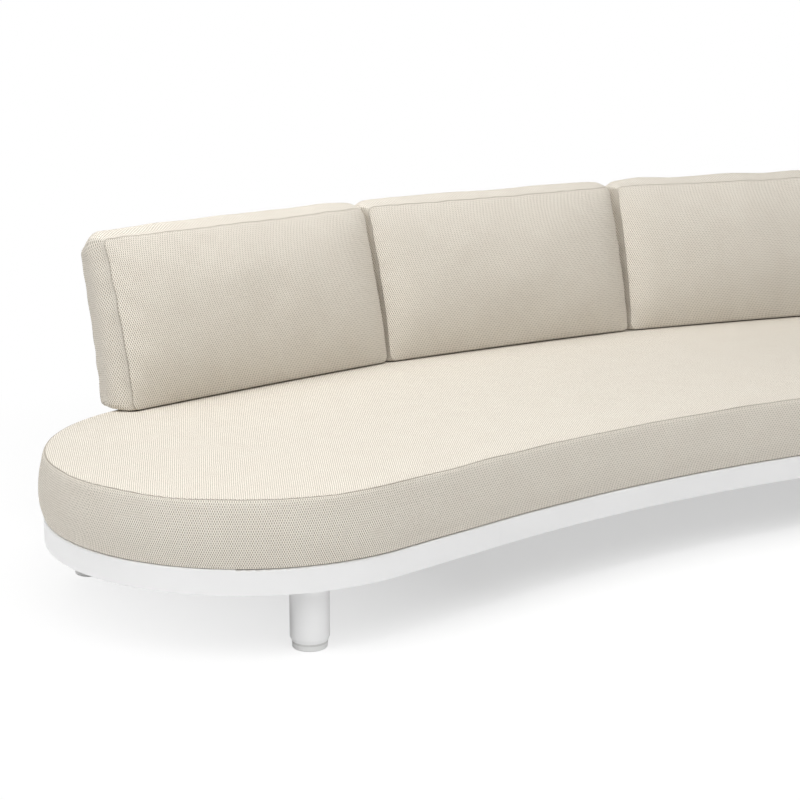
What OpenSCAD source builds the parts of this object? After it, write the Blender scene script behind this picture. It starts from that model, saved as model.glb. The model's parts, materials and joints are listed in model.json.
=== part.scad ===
// Curved outdoor sofa with a bent metal rim, one thick seat cushion and three leaning back cushions.
// The plan is a strip between two concentric arcs with round ends. The shared centre of the arcs lies
// in front of the sofa, so the front edge is hollow. +X runs along the sofa, the front faces -Y and
// z = 0 is the floor. Angles on the arcs are counted from straight behind the centre, towards +X.

/* [Plan of the seat] */
// Radius of the hollow front edge
front_r = 3800; // [3400:20:4400]
// Radius of each round end
end_r = 508; // [470:2:540]
// How far each end stands back from the front curve, which leaves a short straight run between them
end_setback = 12; // [6:1:20]
// Angle from the middle of the sofa to the centre of each round end
end_angle = 15.5; // [14:0.1:17]

/* [Rim] */
// Height of the rim band
rim_h = 60; // [54:1:70]
// Wall of the rim band and of its two flanges
rim_wall = 4; // [3:0.5:5]
// Radius of the rounded lip on the rim's top edge
lip_r = 5; // [4.5:0.5:7]
// Width of the ledge under the deck, measured from the rim's outer face
ledge_w = 26; // [22:1:32]
// Width of the rim's bottom flange, measured from the rim's outer face
foot_flange_w = 18; // [12:1:20]

/* [Cross beams] */
// Width of a cross beam
beam_w = 60; // [50:2:70]
// Wall of a cross beam
beam_wall = 2; // [1.5:0.5:3]
// Angles of the inner and the outer cross beams from the middle one
beam_inner = 8.5; // [8.2:0.1:9]
beam_outer = 15.2; // [14.9:0.05:15.5]

/* [Deck] */
// Thickness of the deck panels
deck_t = 3; // [2:0.5:4]
// Gap round each deck panel
deck_gap = 2; // [1:0.5:4]
// Length and width of a drain slot
slot_l = 180; // [120:10:200]
slot_w = 14; // [8:1:20]
// Spacing of the drain slots along and across the sofa
slot_pitch = 64; // [50:2:90]
slot_row_pitch = 250; // [220:5:280]
// Distance from the rim's outer face to the deck screws
screw_inset = 100; // [90:2:110]
// Diameter of the deck screws' shanks, and of their heads
screw_d = 5; // [4:0.5:6]
screw_head_d = 9; // [8:0.5:10]

/* [Legs] */
// Diameter and wall of a leg tube
leg_d = 90; // [80:1:100]
leg_wall = 5; // [4.5:0.5:8]
// Length of leg that shows under the rim
leg_h = 133; // [100:1:180]
// Distance from the rim's outer face to a leg's axis
leg_inset = 70; // [66:1:84]
// Distance of the end legs' beam from the centre of the round end
end_beam_offset = 206; // [180:2:230]
// Bevel at the leg's lower end, inwards and upwards
leg_bevel = 4; // [2:0.5:4]
leg_bevel_h = 9; // [4:1:12]
// Thickness of the plate on top of the leg
leg_plate_t = 6; // [5:1:8]
// Shank diameter, head diameter, head height and spacing of the leg bolts
leg_bolt_d = 8; // [6:1:10]
leg_bolt_head_d = 13; // [12:1:16]
leg_bolt_head_h = 8; // [5:1:10]
leg_bolt_pitch = 56; // [44:2:60]
// Diameter of the holes above the leg bolts, for the key
key_hole_d = 18; // [17:1:22]

/* [Glides] */
// Diameter and height of a glide's disc
glide_d = 80; // [60:1:84]
glide_h = 12; // [8:1:16]
// How much narrower the plug's collar is than the leg's bevelled end
collar_step = 1; // [0.5:0.5:4]
// Thickness of the plug's collar under the leg, and height of the plug inside the leg
collar_h = 5; // [3:0.5:8]
plug_h = 20; // [14:1:30]
// Diameter and length of the glide's stud
stud_d = 12; // [10:1:16]
stud_l = 48; // [40:1:60]

/* [Back supports] */
// Outer diameter and wall of an upright
upright_d = 28; // [25:1:32]
upright_wall = 2; // [1.5:0.5:3]
// Distance from the middle of a back cushion to each of its uprights
upright_offset = 300; // [240:5:330]
// Radius of the bend in an upright, on its axis
upright_bend_r = 120; // [80:5:160]
// Height of the uprights' tops above the seat's seam, measured along the lean
upright_top = 340; // [300:5:370]
// Wall of a socket, and thickness of its flange
socket_wall = 4; // [3:0.5:6]
socket_flange_t = 5; // [4:0.5:8]
// Width of a socket's flange
socket_flange_w = 84; // [76:2:100]
// Diameter, head diameter and head height of the socket bolts
socket_bolt_d = 6; // [5:1:8]
socket_bolt_head_d = 10; // [9:1:13]
socket_bolt_head_h = 5; // [4:1:8]
// Thickness, height and overhang past the uprights of a back panel
panel_t = 3; // [2:0.5:4]
panel_h = 170; // [120:5:190]
panel_overhang = 40; // [20:5:60]
// Depth of the panel's turned edges
panel_return = 16; // [8:1:24]

/* [Seat cushion] */
// Height of the seat cushion's side, from the rim to the seam
seat_h = 156; // [120:2:200]
// Rise of the crown over the seam, and the distance from the edge over which it rises
seat_crown = 12; // [4:1:20]
seat_crown_run = 220; // [120:10:300]
// How far the side swells past the rim, and how far the seam lies inside it
seat_bulge = 14; // [4:1:20]
seam_inset = 10; // [4:1:20]

/* [Back cushions] */
// Height from the bottom seam to the top seam, along the lean
back_h = 438; // [380:2:480]
// Thickness between the front and the rear seam
back_t = 105; // [90:1:120]
// Lean from upright
back_lean = 13.5; // [8:0.5:18]
// Distance from the rim's rear face to the front of the back cushions, at the middle of each
back_set = 106; // [96:1:130]
// How far the row of back cushions runs past the centres of the round ends
back_reach = 20; // [0:2:40]
// Gap between the front seams of neighbouring back cushions, at the bottom
back_gap = 13; // [12:1:24]
// Swell of the side panels, and of the front
back_bulge = 5; // [2:0.5:5]
back_crown = 22; // [8:1:30]
// How far the seams are drawn in between the corners
back_draw = 4; // [0:1:8]
// Radius of the front panel's corners
back_corner_r = 30; // [16:2:50]
// Height of the front bottom seam over the seat cushion
back_seam_lift = 7; // [4:1:12]
// Thickness of the padded cover round the foam cores
cover_t = 22; // [16:1:26]

/* [Clearances] */
// Between soft pieces, and between a soft piece and its neighbour
soft_gap = 0.3; // [0.2:0.1:0.5]
// Round an upright in its socket, a plug in its leg and a bolt in its hole
slip_gap = 0.25; // [0.1:0.05:0.4]
// Round studs and bolts in their threads, and under the foot of an upright
thread_gap = 0.1; // [0.05:0.05:0.2]
// Between the seat cushion's side and the uprights
upright_gap = 3; // [2:0.5:6]
// Between the welded lengths of the rim, and between the rim and the ends of the beams
weld_gap = 0.2; // [0.1:0.05:0.4]

/* [Hidden] */

// Facets of a full circle: small parts, round ends and the long arcs
fine = 64;
end_fine = 180;
arc_fine = 720;
$fn = fine;
// Overlap of a cut with what it cuts
cut = 1;

// Plan
mid_r = front_r + end_r + end_setback;
rear_r = mid_r + end_r;
straight_turn = acos((front_r + end_r) / mid_r);
arc_half = end_angle - straight_turn;
straight_l = sqrt(pow(mid_r, 2) - pow(front_r + end_r, 2));
end_beam_reach = sqrt(pow(end_r - leg_inset, 2) - pow(end_beam_offset, 2));

// Heights
plug_z = glide_h;
leg_z = plug_z + collar_h;
rim_z = leg_z + leg_h;
rim_top = rim_z + rim_h;
ledge_top = rim_top - deck_t;
screw_sink = (screw_head_d - screw_d) / 2;
seat_z = rim_top + soft_gap;
seam_z = seat_z + seat_h;

// Back cushions
back_d = rear_r - back_set;
back_step = (end_angle + asin(back_reach / back_d)) * 2 / 3;
back_w = 2 * back_d * tan(back_step / 2) - back_gap;
back_base_z = seat_top(back_set - seam_inset) + soft_gap;
back_seam_z = back_base_z + back_seam_lift;

// Uprights stand in a plane behind the seat cushion's swell, then lean with the cushions
bulge_r = rear_r + seat_bulge;
upright_y = sqrt(pow(bulge_r, 2) - pow(upright_offset - upright_d / 2, 2)) + upright_gap + upright_d / 2;
upright_w = back_t + soft_gap + panel_t + upright_d / 2;
kink_v = (upright_y - back_d - upright_w * cos(back_lean)) / sin(back_lean);
kink_z = back_seam_z + kink_v * cos(back_lean) - upright_w * sin(back_lean);
bend_run = upright_bend_r * tan(back_lean / 2);
socket_r = sqrt(pow(upright_y, 2) + pow(upright_offset, 2));
socket_turn = atan(upright_offset / upright_y);
socket_bore_d = upright_d + 2 * slip_gap;
socket_d = socket_bore_d + 2 * socket_wall;
socket_bolt_x = (socket_flange_w + socket_d) / 4;
panel_v = upright_top - panel_h;

// Least foam height over the back cushion's base, counted from the bottom seam
core_floor = cover_t / 2 - back_seam_lift;

// Steps of the soft forms: along half of each arc, round each quarter of a round end, round a back
// cushion's corner, and up its side
arc_steps = 9;
end_steps = 14;
corner_steps = 6;
side_steps = 8;

// The arcs' centre, placed so that the whole sofa is centred front to back
front_reach = mid_r * cos(end_angle) - end_r - seat_bulge;
cushion_reach = back_d + back_h * sin(back_lean) + back_t * cos(back_lean);
upright_reach = back_d + upright_top * sin(back_lean) + upright_w * cos(back_lean) + upright_d / 2;
centre_y = -(front_reach + max(cushion_reach, upright_reach)) / 2;

leg_spots = [
  end_leg_spot(-1, -1), end_leg_spot(1, -1), end_leg_spot(-1, 1), end_leg_spot(1, 1),
  [0, mid_r], [0, rear_r - leg_inset]];

function polar(r, t) = [r * sin(t), r * cos(t)];
function turn(p, t) = [p[0] * cos(t) + p[1] * sin(t), p[1] * cos(t) - p[0] * sin(t)];

// Leg on the beam through a round end: side is -1 for the left end, way is -1 for the front
function end_leg_spot(side, way) =
  turn([side * end_beam_offset, mid_r + way * end_beam_reach], side * end_angle);

// Height of the seat cushion's top at a distance d inside its seam
function seat_top(d) = seam_z + seat_crown * sin(90 * min(1, max(0, d) / seat_crown_run));

// Moves a shape from the arcs' centre to the sofa's own place
module place() {
  translate([0, centre_y, 0]) children();
}

// Turns a shape about the arcs' centre by the angle t
module around(t) {
  rotate([0, 0, -t]) children();
}

// Outline of the seat in plan, grown outwards by off
module outline(off) {
  reach = 2 * rear_r;
  difference() {
    intersection() {
      circle(r = rear_r + off, $fn = arc_fine);
      polygon([[0, 0], polar(reach, -end_angle), polar(reach, end_angle)]);
    }
    circle(r = front_r - off, $fn = arc_fine);
    for (side = [-1, 1])
      polygon([[0, 0], polar(front_r - off, side * arc_half),
        polar(mid_r, side * end_angle) - polar(end_r + off, side * arc_half),
        polar(mid_r, side * end_angle)]);
  }
  for (side = [-1, 1])
    translate(polar(mid_r, side * end_angle)) circle(r = end_r + off, $fn = end_fine);
}

// Section of the rim: x = 0 is the outer face, x < 0 lies inside, y is the height
module rim_section() {
  translate([-rim_wall, 0]) square([rim_wall, rim_h - lip_r]);
  translate([-lip_r, rim_h - lip_r]) circle(r = lip_r, $fn = fine);
  translate([-ledge_w, rim_h - deck_t - rim_wall]) square([ledge_w - rim_wall / 2, rim_wall]);
  translate([-foot_flange_w, 0]) square([foot_flange_w, rim_wall]);
}

// Rolls the rim's section to the radius r, between the angles t0 and t1
module rolled_rim(r, t0, t1, facets) {
  trim = weld_gap / 2 / r * 180 / PI;
  translate([0, 0, rim_z]) rotate([0, 0, 90 - t1 + trim])
    rotate_extrude(angle = t1 - t0 - 2 * trim, $fn = facets) translate([r, 0]) children();
}

// Front length, rolled to the hollow arc
module rim_front() {
  color("whitesmoke") place() rolled_rim(front_r, -arc_half, arc_half, arc_fine)
    mirror([1, 0]) rim_section();
}

module rim_rear() {
  color("whitesmoke") place() difference() {
    rolled_rim(rear_r, -end_angle, end_angle, arc_fine) rim_section();
    socket_bolt_holes();
  }
}

// Right straight length, between the front arc and the round end
module rim_run() {
  color("whitesmoke") place() around(arc_half) translate([straight_l - weld_gap / 2, front_r, rim_z])
    rotate([90, 0, -90]) linear_extrude(straight_l - weld_gap) rim_section();
}

// Right round end
module rim_end() {
  color("whitesmoke") place() translate(polar(mid_r, end_angle))
    rolled_rim(end_r, end_angle, 180 + arc_half, end_fine) rim_section();
}

module rim_run_left() { mirror([1, 0, 0]) rim_run(); }
module rim_run_right() { rim_run(); }
module rim_end_left() { mirror([1, 0, 0]) rim_end(); }
module rim_end_right() { rim_end(); }

// Threaded holes in the rim's wall for the socket bolts
module socket_bolt_holes() {
  for (n = [1:6], side = [-1, 1]) around(socket_angle(n))
    translate([side * socket_bolt_x, rear_r - 2 * rim_wall, rim_z + rim_h / 2]) rotate([-90, 0, 0])
      cylinder(d = socket_bolt_d + 2 * thread_gap, h = 3 * rim_wall);
}

// Space inside the rim that a beam may fill: up to the wall, but notched for the flange, the lip and
// the ledge
module inside_rim() {
  ledge_h = rim_h - deck_t - rim_wall - weld_gap;
  lip_h = min(rim_h - 2 * lip_r - weld_gap, ledge_h);
  translate([0, 0, rim_z]) {
    linear_extrude(rim_h) outline(-ledge_w - weld_gap);
    linear_extrude(ledge_h) outline(-foot_flange_w - weld_gap);
    translate([0, 0, rim_wall + weld_gap]) {
      linear_extrude(ledge_h - rim_wall - weld_gap) outline(-2 * lip_r - weld_gap);
      linear_extrude(lip_h - rim_wall - weld_gap) outline(-rim_wall - weld_gap);
    }
  }
}

// Rectangular tube along y, long enough to cross the whole seat, with holes over the bolts at ys
module beam_blank(ys) {
  beam_h = rim_h - deck_t;
  translate([0, mid_r, rim_z]) difference() {
    translate([-beam_w / 2, -end_r - cut, 0]) cube([beam_w, 2 * end_r + 2 * cut, beam_h]);
    translate([beam_wall - beam_w / 2, -end_r - 2 * cut, beam_wall])
      cube([beam_w - 2 * beam_wall, 2 * end_r + 4 * cut, beam_h - 2 * beam_wall]);
    for (y = ys, side = [-1, 1]) translate([0, y - mid_r + side * leg_bolt_pitch / 2, 0]) {
      translate([0, 0, -cut]) cylinder(d = leg_bolt_d + 2 * slip_gap, h = beam_wall + 2 * cut);
      translate([0, 0, beam_h - beam_wall - cut]) cylinder(d = key_hole_d, h = beam_wall + 2 * cut);
    }
  }
}

beam_angles = [-beam_outer, -beam_inner, 0, beam_inner, beam_outer];

// Beam number n of five, counted from the left
module cross_beam(n) {
  t = beam_angles[n - 1];
  ys = n == 3 ? [mid_r, rear_r - leg_inset] : [];
  color("gainsboro") place() difference() {
    intersection() {
      around(t) beam_blank(ys);
      inside_rim();
    }
    deck_screw_holes();
  }
}

// Beam through a round end, which carries the front and the rear leg there
module end_beam(side) {
  color("gainsboro") place() difference() {
    intersection() {
      around(side * end_angle) translate([side * end_beam_offset, 0, 0])
        beam_blank([mid_r - end_beam_reach, mid_r + end_beam_reach]);
      inside_rim();
    }
    deck_screw_holes();
  }
}

module beam_1() { cross_beam(1); }
module beam_2() { cross_beam(2); }
module beam_3() { cross_beam(3); }
module beam_4() { cross_beam(4); }
module beam_5() { cross_beam(5); }
module end_beam_left() { end_beam(-1); }
module end_beam_right() { end_beam(1); }

// Places something at every deck screw: beside each panel's edge, and on the beams in the round ends
module at_deck_screws() {
  edge = beam_w / 4;
  reach = end_r - screw_inset;
  for (t = beam_angles, side = [-1, 1], way = [-1, 1])
    around(t) translate([side * edge, mid_r + way * reach, 0]) children();
  for (side = [-1, 1], way = [-1, 1])
    around(side * end_angle) translate([side * end_beam_offset, mid_r + way * end_beam_reach / 2, 0])
      children();
}

module deck_screw_holes() {
  at_deck_screws() translate([0, 0, ledge_top - beam_wall - cut])
    cylinder(d = screw_d + 2 * slip_gap, h = beam_wall + 2 * cut);
}

// Countersunk screw, its head flush with the deck
module deck_screws() {
  tip_z = ledge_top - 3 * beam_wall;
  color("silver") place() at_deck_screws() {
    translate([0, 0, rim_top - screw_sink]) cylinder(d1 = screw_d, d2 = screw_head_d, h = screw_sink);
    translate([0, 0, tip_z]) cylinder(d = screw_d, h = rim_top - screw_sink - tip_z);
  }
}

// Drain slot with round ends, along y
module drain_slot() {
  straight = slot_l - slot_w;
  square([slot_w, straight], center = true);
  for (way = [-1, 1]) translate([0, way * straight / 2]) circle(d = slot_w);
}

// Sheet between the angles t0 and t1, with its slots given as children and its screw holes sunk
module deck_sheet(t0, t1) {
  reach = 2 * rear_r;
  gap_turn = asin(deck_gap / 2 / mid_r);
  color("lightgray") place() difference() {
    translate([0, 0, ledge_top]) linear_extrude(deck_t) difference() {
      intersection() {
        outline(-2 * lip_r - deck_gap);
        polygon([polar(front_r / 2, t0 + gap_turn), polar(reach, t0 + gap_turn),
          polar(reach, t1 - gap_turn), polar(front_r / 2, t1 - gap_turn)]);
      }
      children();
    }
    at_deck_screws() {
      translate([0, 0, rim_top - screw_sink]) cylinder(d1 = screw_d, d2 = screw_head_d, h = screw_sink);
      translate([0, 0, ledge_top - cut]) cylinder(d = screw_d, h = deck_t + cut);
    }
  }
}

// Panel between two cross beams
module deck_panel(t0, t1) {
  count = floor((front_r * (t1 - t0) * PI / 180 - beam_w) / slot_pitch);
  deck_sheet(t0, t1) around((t0 + t1) / 2) for (row = [-1:1], i = [0:count - 1])
    translate([(i - (count - 1) / 2) * slot_pitch, mid_r + row * slot_row_pitch]) drain_slot();
}

// Panel over the right round end, slotted on both sides of the beam there
module deck_end() {
  slot_reach = end_r - 2 * ledge_w;
  count = floor(slot_reach / slot_pitch);
  deck_sheet(beam_outer, end_angle + 2 * atan(end_r / mid_r)) around(end_angle)
    for (row = [-1:1], i = [1:count]) {
      x = beam_w / 2 + (i - 0.5) * slot_pitch;
      y = row * slot_row_pitch;
      corner = norm([x + slot_w / 2, abs(y) + slot_l / 2]);
      if (corner < slot_reach && abs(x - end_beam_offset) > (beam_w + slot_w) / 2)
        translate([x, mid_r + y]) drain_slot();
    }
}

module deck_1() { mirror([1, 0, 0]) deck_end(); }
module deck_2() { deck_panel(-beam_outer, -beam_inner); }
module deck_3() { deck_panel(-beam_inner, 0); }
module deck_4() { deck_panel(0, beam_inner); }
module deck_5() { deck_panel(beam_inner, beam_outer); }
module deck_6() { deck_end(); }

// Angle of the beam over leg number n: the first four stand in the round ends, left and right in turn
function leg_turn(n) = n > 3 ? 0 : n % 2 == 0 ? -end_angle : end_angle;

// Leg number n: a tube with a bevelled lower end, closed on top by a tapped plate
module leg(n) {
  top = rim_z - leg_plate_t;
  bore_r = leg_d / 2 - leg_wall;
  color("whitesmoke") place() translate(concat(leg_spots[n], 0)) difference() {
    rotate_extrude() polygon([[bore_r, leg_z], [leg_d / 2 - leg_bevel, leg_z],
      [leg_d / 2, leg_z + leg_bevel_h], [leg_d / 2, rim_z], [0, rim_z], [0, top], [bore_r, top]]);
    around(leg_turn(n)) for (side = [-1, 1]) translate([0, side * leg_bolt_pitch / 2, top - cut])
      cylinder(d = leg_bolt_d + 2 * thread_gap, h = leg_plate_t + 2 * cut);
  }
}

module leg_front_left() { leg(0); }
module leg_front_right() { leg(1); }
module leg_rear_left() { leg(2); }
module leg_rear_right() { leg(3); }
module leg_middle() { leg(4); }
module leg_rear_middle() { leg(5); }

// Plugs in the lower ends of the legs, with a collar that shows and a thread for the glide's stud
module leg_plugs() {
  color("lightgray") place() for (spot = leg_spots) translate(concat(spot, 0)) difference() {
    union() {
      translate([0, 0, plug_z]) cylinder(d = leg_d - 2 * leg_bevel - collar_step, h = collar_h);
      translate([0, 0, plug_z]) cylinder(d = leg_d - 2 * leg_wall - 2 * thread_gap, h = collar_h + plug_h);
    }
    translate([0, 0, plug_z - cut]) cylinder(d = stud_d + 2 * thread_gap, h = collar_h + plug_h + 2 * cut);
  }
}

// Two bolts through the beam into each leg's plate
module leg_bolts() {
  color("silver") place() for (n = [0:5]) translate(concat(leg_spots[n], 0))
    around(leg_turn(n)) for (side = [-1, 1]) translate([0, side * leg_bolt_pitch / 2, 0]) {
      translate([0, 0, rim_z - leg_plate_t]) cylinder(d = leg_bolt_d, h = leg_plate_t + beam_wall);
      translate([0, 0, rim_z + beam_wall]) difference() {
        cylinder(d = leg_bolt_head_d, h = leg_bolt_head_h);
        translate([0, 0, leg_bolt_head_h / 2])
          cylinder(d = leg_bolt_head_d / 2, h = leg_bolt_head_h, $fn = 6);
      }
    }
}

// Disc on a threaded stud, screwed fully in against the plug's collar
module glide(n) {
  edge = glide_h / 6;
  color("gainsboro") place() translate(concat(leg_spots[n], 0)) {
    rotate_extrude() polygon([[0, 0], [glide_d / 2 - edge, 0], [glide_d / 2, edge],
      [glide_d / 2, glide_h], [0, glide_h]]);
    translate([0, 0, glide_h - cut]) cylinder(d = stud_d, h = stud_l + cut);
  }
}

module glide_front_left() { glide(0); }
module glide_front_right() { glide(1); }
module glide_rear_left() { glide(2); }
module glide_rear_right() { glide(3); }
module glide_middle() { glide(4); }
module glide_rear_middle() { glide(5); }

// Angle of upright number n of six, and of the cushion that it carries
function cushion_turn(n) = (floor((n - 1) / 2) - 1) * back_step;
function upright_side(n) = (n - 1) % 2 == 0 ? -1 : 1;
function socket_angle(n) = cushion_turn(n) + upright_side(n) * socket_turn;

// Socket with a floor that the upright stands on, and a flat flange bolted to the rim's outer face
module socket(n) {
  h = rim_h - lip_r;
  reach = socket_r - rear_r;
  web_w = socket_d - 2 * socket_wall;
  drain_d = socket_bore_d / 3;
  color("whitesmoke") place() around(socket_angle(n)) translate([0, rear_r, rim_z]) difference() {
    union() {
      translate([0, reach, 0]) cylinder(d = socket_d, h = h);
      translate([-web_w / 2, 0, 0]) cube([web_w, reach, h]);
      translate([-socket_flange_w / 2, 0, 0]) cube([socket_flange_w, socket_flange_t, h]);
    }
    translate([0, reach, socket_wall]) cylinder(d = socket_bore_d, h = rim_h);
    translate([0, reach, -cut]) cylinder(d = drain_d, h = rim_h);
    for (side = [-1, 1]) translate([side * socket_bolt_x, -cut, rim_h / 2]) rotate([-90, 0, 0])
      cylinder(d = socket_bolt_d + 2 * slip_gap, h = socket_flange_t + 2 * cut);
  }
}

module socket_1() { socket(1); }
module socket_2() { socket(2); }
module socket_3() { socket(3); }
module socket_4() { socket(4); }
module socket_5() { socket(5); }
module socket_6() { socket(6); }

// Bolts through the sockets' flanges into the rim's wall
module socket_bolts() {
  grip = socket_flange_t + 2 * rim_wall;
  color("silver") place() for (n = [1:6], side = [-1, 1]) around(socket_angle(n))
    translate([side * socket_bolt_x, rear_r + socket_flange_t, rim_z + rim_h / 2]) rotate([-90, 0, 0]) {
      translate([0, 0, -grip]) cylinder(d = socket_bolt_d, h = grip);
      cylinder(d = socket_bolt_head_d, h = socket_bolt_head_h);
    }
}

// Upright: straight out of its socket, then bent back with the cushion's lean. The bend's wall is
// grown by slip_gap on both faces, so that it takes in the ends of the straight runs
module upright(n) {
  foot = rim_z + socket_wall + thread_gap;
  bend_z = kink_z - bend_run;
  straight = upright_top - kink_v - bend_run;
  bore = upright_d / 2 - upright_wall;
  color("whitesmoke") place() around(cushion_turn(n))
    translate([upright_side(n) * upright_offset, upright_y, 0]) {
      translate([0, 0, foot]) difference() {
        cylinder(d = upright_d, h = bend_z + cut - foot);
        translate([0, 0, -cut]) cylinder(r = bore, h = bend_z - foot + 3 * cut);
      }
      translate([0, upright_bend_r, bend_z]) rotate([90, 0, -90])
        rotate_extrude(angle = back_lean) translate([upright_bend_r, 0]) difference() {
          circle(r = upright_d / 2 + slip_gap);
          circle(r = bore - slip_gap);
        }
      translate([0, 0, kink_z]) rotate([-back_lean, 0, 0]) translate([0, 0, bend_run])
        upper_run(straight, bore);
    }
}

// Upper end of an upright, closed by a round cap
module upper_run(straight, bore) {
  rotate_extrude() difference() {
    union() {
      translate([0, -cut]) square([upright_d / 2, straight + cut]);
      translate([0, straight]) intersection() {
        circle(d = upright_d);
        square(upright_d);
      }
    }
    translate([-cut, -2 * cut]) square([bore + cut, straight + 2 * cut - upright_wall]);
  }
}

module upright_1() { upright(1); }
module upright_2() { upright(2); }
module upright_3() { upright(3); }
module upright_4() { upright(4); }
module upright_5() { upright(5); }
module upright_6() { upright(6); }

// Cushion's own axes at the angle t: x along it, y to the rear, z up the lean, origin on the front
// bottom seam
module on_back(t) {
  around(t) translate([0, back_d, back_seam_z]) rotate([-back_lean, 0, 0]) children();
}

// Slotted panel welded to the uprights' front, with its top and bottom edges turned back
module back_panel(t) {
  w = 2 * (upright_offset + panel_overhang);
  inner = 2 * upright_offset - upright_d;
  count = floor(inner / slot_pitch);
  color("whitesmoke") place() on_back(t) translate([0, back_t + soft_gap, panel_v]) difference() {
    union() {
      translate([-w / 2, 0, 0]) cube([w, panel_t, panel_h]);
      for (z = [0, panel_h - panel_t]) translate([-w / 2, 0, z])
        difference() {
          cube([w, panel_return, panel_t]);
          for (side = [-1, 1]) translate([w / 2 + side * upright_offset, panel_t + upright_d / 2, -cut])
            cylinder(d = upright_d + 2 * slip_gap, h = panel_t + 2 * cut);
        }
    }
    for (i = [0:count - 1]) translate([(i - (count - 1) / 2) * slot_pitch, panel_t + cut, panel_h / 2])
      rotate([90, 0, 0]) linear_extrude(panel_t + 2 * cut) panel_slot();
  }
}

// Upright slot in a back panel
module panel_slot() {
  straight = panel_h / 2 - slot_w;
  square([slot_w, straight], center = true);
  for (way = [-1, 1]) translate([0, way * straight / 2]) circle(d = slot_w);
}

module back_panel_left() { back_panel(-back_step); }
module back_panel_middle() { back_panel(0); }
module back_panel_right() { back_panel(back_step); }

// Points along the right half of the seat's edge, from the middle to the tip, with the edge grown by
// off: the front edge here, the rear edge below, with as many points each
function front_half(off) = concat(
  [for (i = [0:arc_steps]) polar(front_r - off, arc_half * i / arc_steps)],
  [for (i = [0:end_steps]) polar(mid_r, end_angle)
    + polar(end_r + off, arc_half + 180 - (90 - straight_turn) * i / end_steps)]);
function rear_half(off) = concat(
  [for (i = [0:arc_steps]) polar(rear_r + off, end_angle * i / (arc_steps + 1))],
  [for (i = [0:end_steps]) polar(mid_r, end_angle) + polar(end_r + off, end_angle + 90 * i / end_steps)]);

// From the left tip to the right tip
function both_halves(half) = concat(
  [for (i = [len(half) - 1:-1:1]) [-half[i][0], half[i][1]]],
  half);

// Closed loop round the seat: along the front, then back along the rear
function seat_loop(off, z) = let (front = both_halves(front_half(off)), rear = both_halves(rear_half(off)))
  concat([for (p = front) [p[0], p[1], z]],
    [for (i = [len(rear) - 2:-1:1]) [rear[i][0], rear[i][1], z]]);

// Two triangles for the four corners a, b, c, d
function quad(a, b, c, d) = [[a, b, c], [a, c, d]];

// Faces between the loops j and j + 1 of count points each
function band(j, count) = [for (i = [0:count - 1]) let (k = (i + 1) % count)
  each quad(j * count + i, (j + 1) * count + i, (j + 1) * count + k, j * count + k)];

// Height and outward swell of the seat cushion's side, as shares of its height and of seat_bulge or
// seam_inset
seat_side = [[0, -0.6 * seam_inset], [0.06, 0.15 * seat_bulge], [0.2, 0.7 * seat_bulge],
  [0.42, seat_bulge], [0.66, 0.92 * seat_bulge], [0.85, 0.4 * seat_bulge], [0.95, -0.4 * seam_inset],
  [1, -seam_inset]];
// Places across the seat at which the crown has a row of points
crown_rows = [0.04, 0.12, 0.28, 0.5, 0.72, 0.88, 0.96];

// Seat cushion as one closed form: loops up the side, then rows of points across the crown
module seat_form() {
  loops = [for (p = seat_side) seat_loop(p[1], seat_z + p[0] * seat_h)];
  top = loops[len(loops) - 1];
  count = len(top);
  last = count / 2;
  rows = len(crown_rows);
  base = (len(loops) - 1) * count;
  inner = len(loops) * count;
  crown = [for (k = [1:last - 1], f = crown_rows)
    let (a = top[k], b = top[count - k], p = a + f * (b - a), d = min(f, 1 - f) * norm(b - a))
    [p[0], p[1], seat_top(d)]];
  // Row k from front to rear, as point numbers
  function row(k) = concat([base + k],
    [for (j = [0:rows - 1]) inner + (k - 1) * rows + j],
    [base + count - k]);
  sides = [for (j = [0:len(loops) - 2]) each band(j, count)];
  cover = [for (k = [1:last - 2]) let (a = row(k), b = row(k + 1)) for (j = [0:rows])
    each quad(a[j], a[j + 1], b[j + 1], b[j])];
  tips = [for (j = [0:rows]) each [[base, row(1)[j + 1], row(1)[j]],
    [base + last, row(last - 1)[j], row(last - 1)[j + 1]]]];
  underside = [for (k = [1:last - 2]) each quad(k, k + 1, count - k - 1, count - k)];
  under_tips = [[0, 1, count - 1], [last, count - last + 1, last - 1]];
  points = concat([for (loop = loops) each loop], crown);
  polyhedron(points, concat(sides, cover, tips, underside, under_tips));
}

// Cover with the hollow that its foam core fills
module seat_cover() {
  color("antiquewhite") place() difference() {
    seat_form();
    translate([0, 0, seat_z + cover_t]) linear_extrude(seat_h - 2 * cover_t) outline(-cover_t);
  }
}

module seat_foam() {
  color("khaki") place() translate([0, 0, seat_z + cover_t + soft_gap])
    linear_extrude(seat_h - 2 * cover_t - 2 * soft_gap) outline(-cover_t - soft_gap);
}

// Corner of a back cushion's seam: points of a quarter circle from the angle a
function corner(x, z, r, a) = [for (i = [0:corner_steps]) [x, z] + r * [cos(a + 90 * i / corner_steps),
  sin(a + 90 * i / corner_steps)]];
// The points between p and q that cut the line in n parts
function between(p, q, n) = [for (i = [1:n - 1]) p + (q - p) * i / n];

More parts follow.
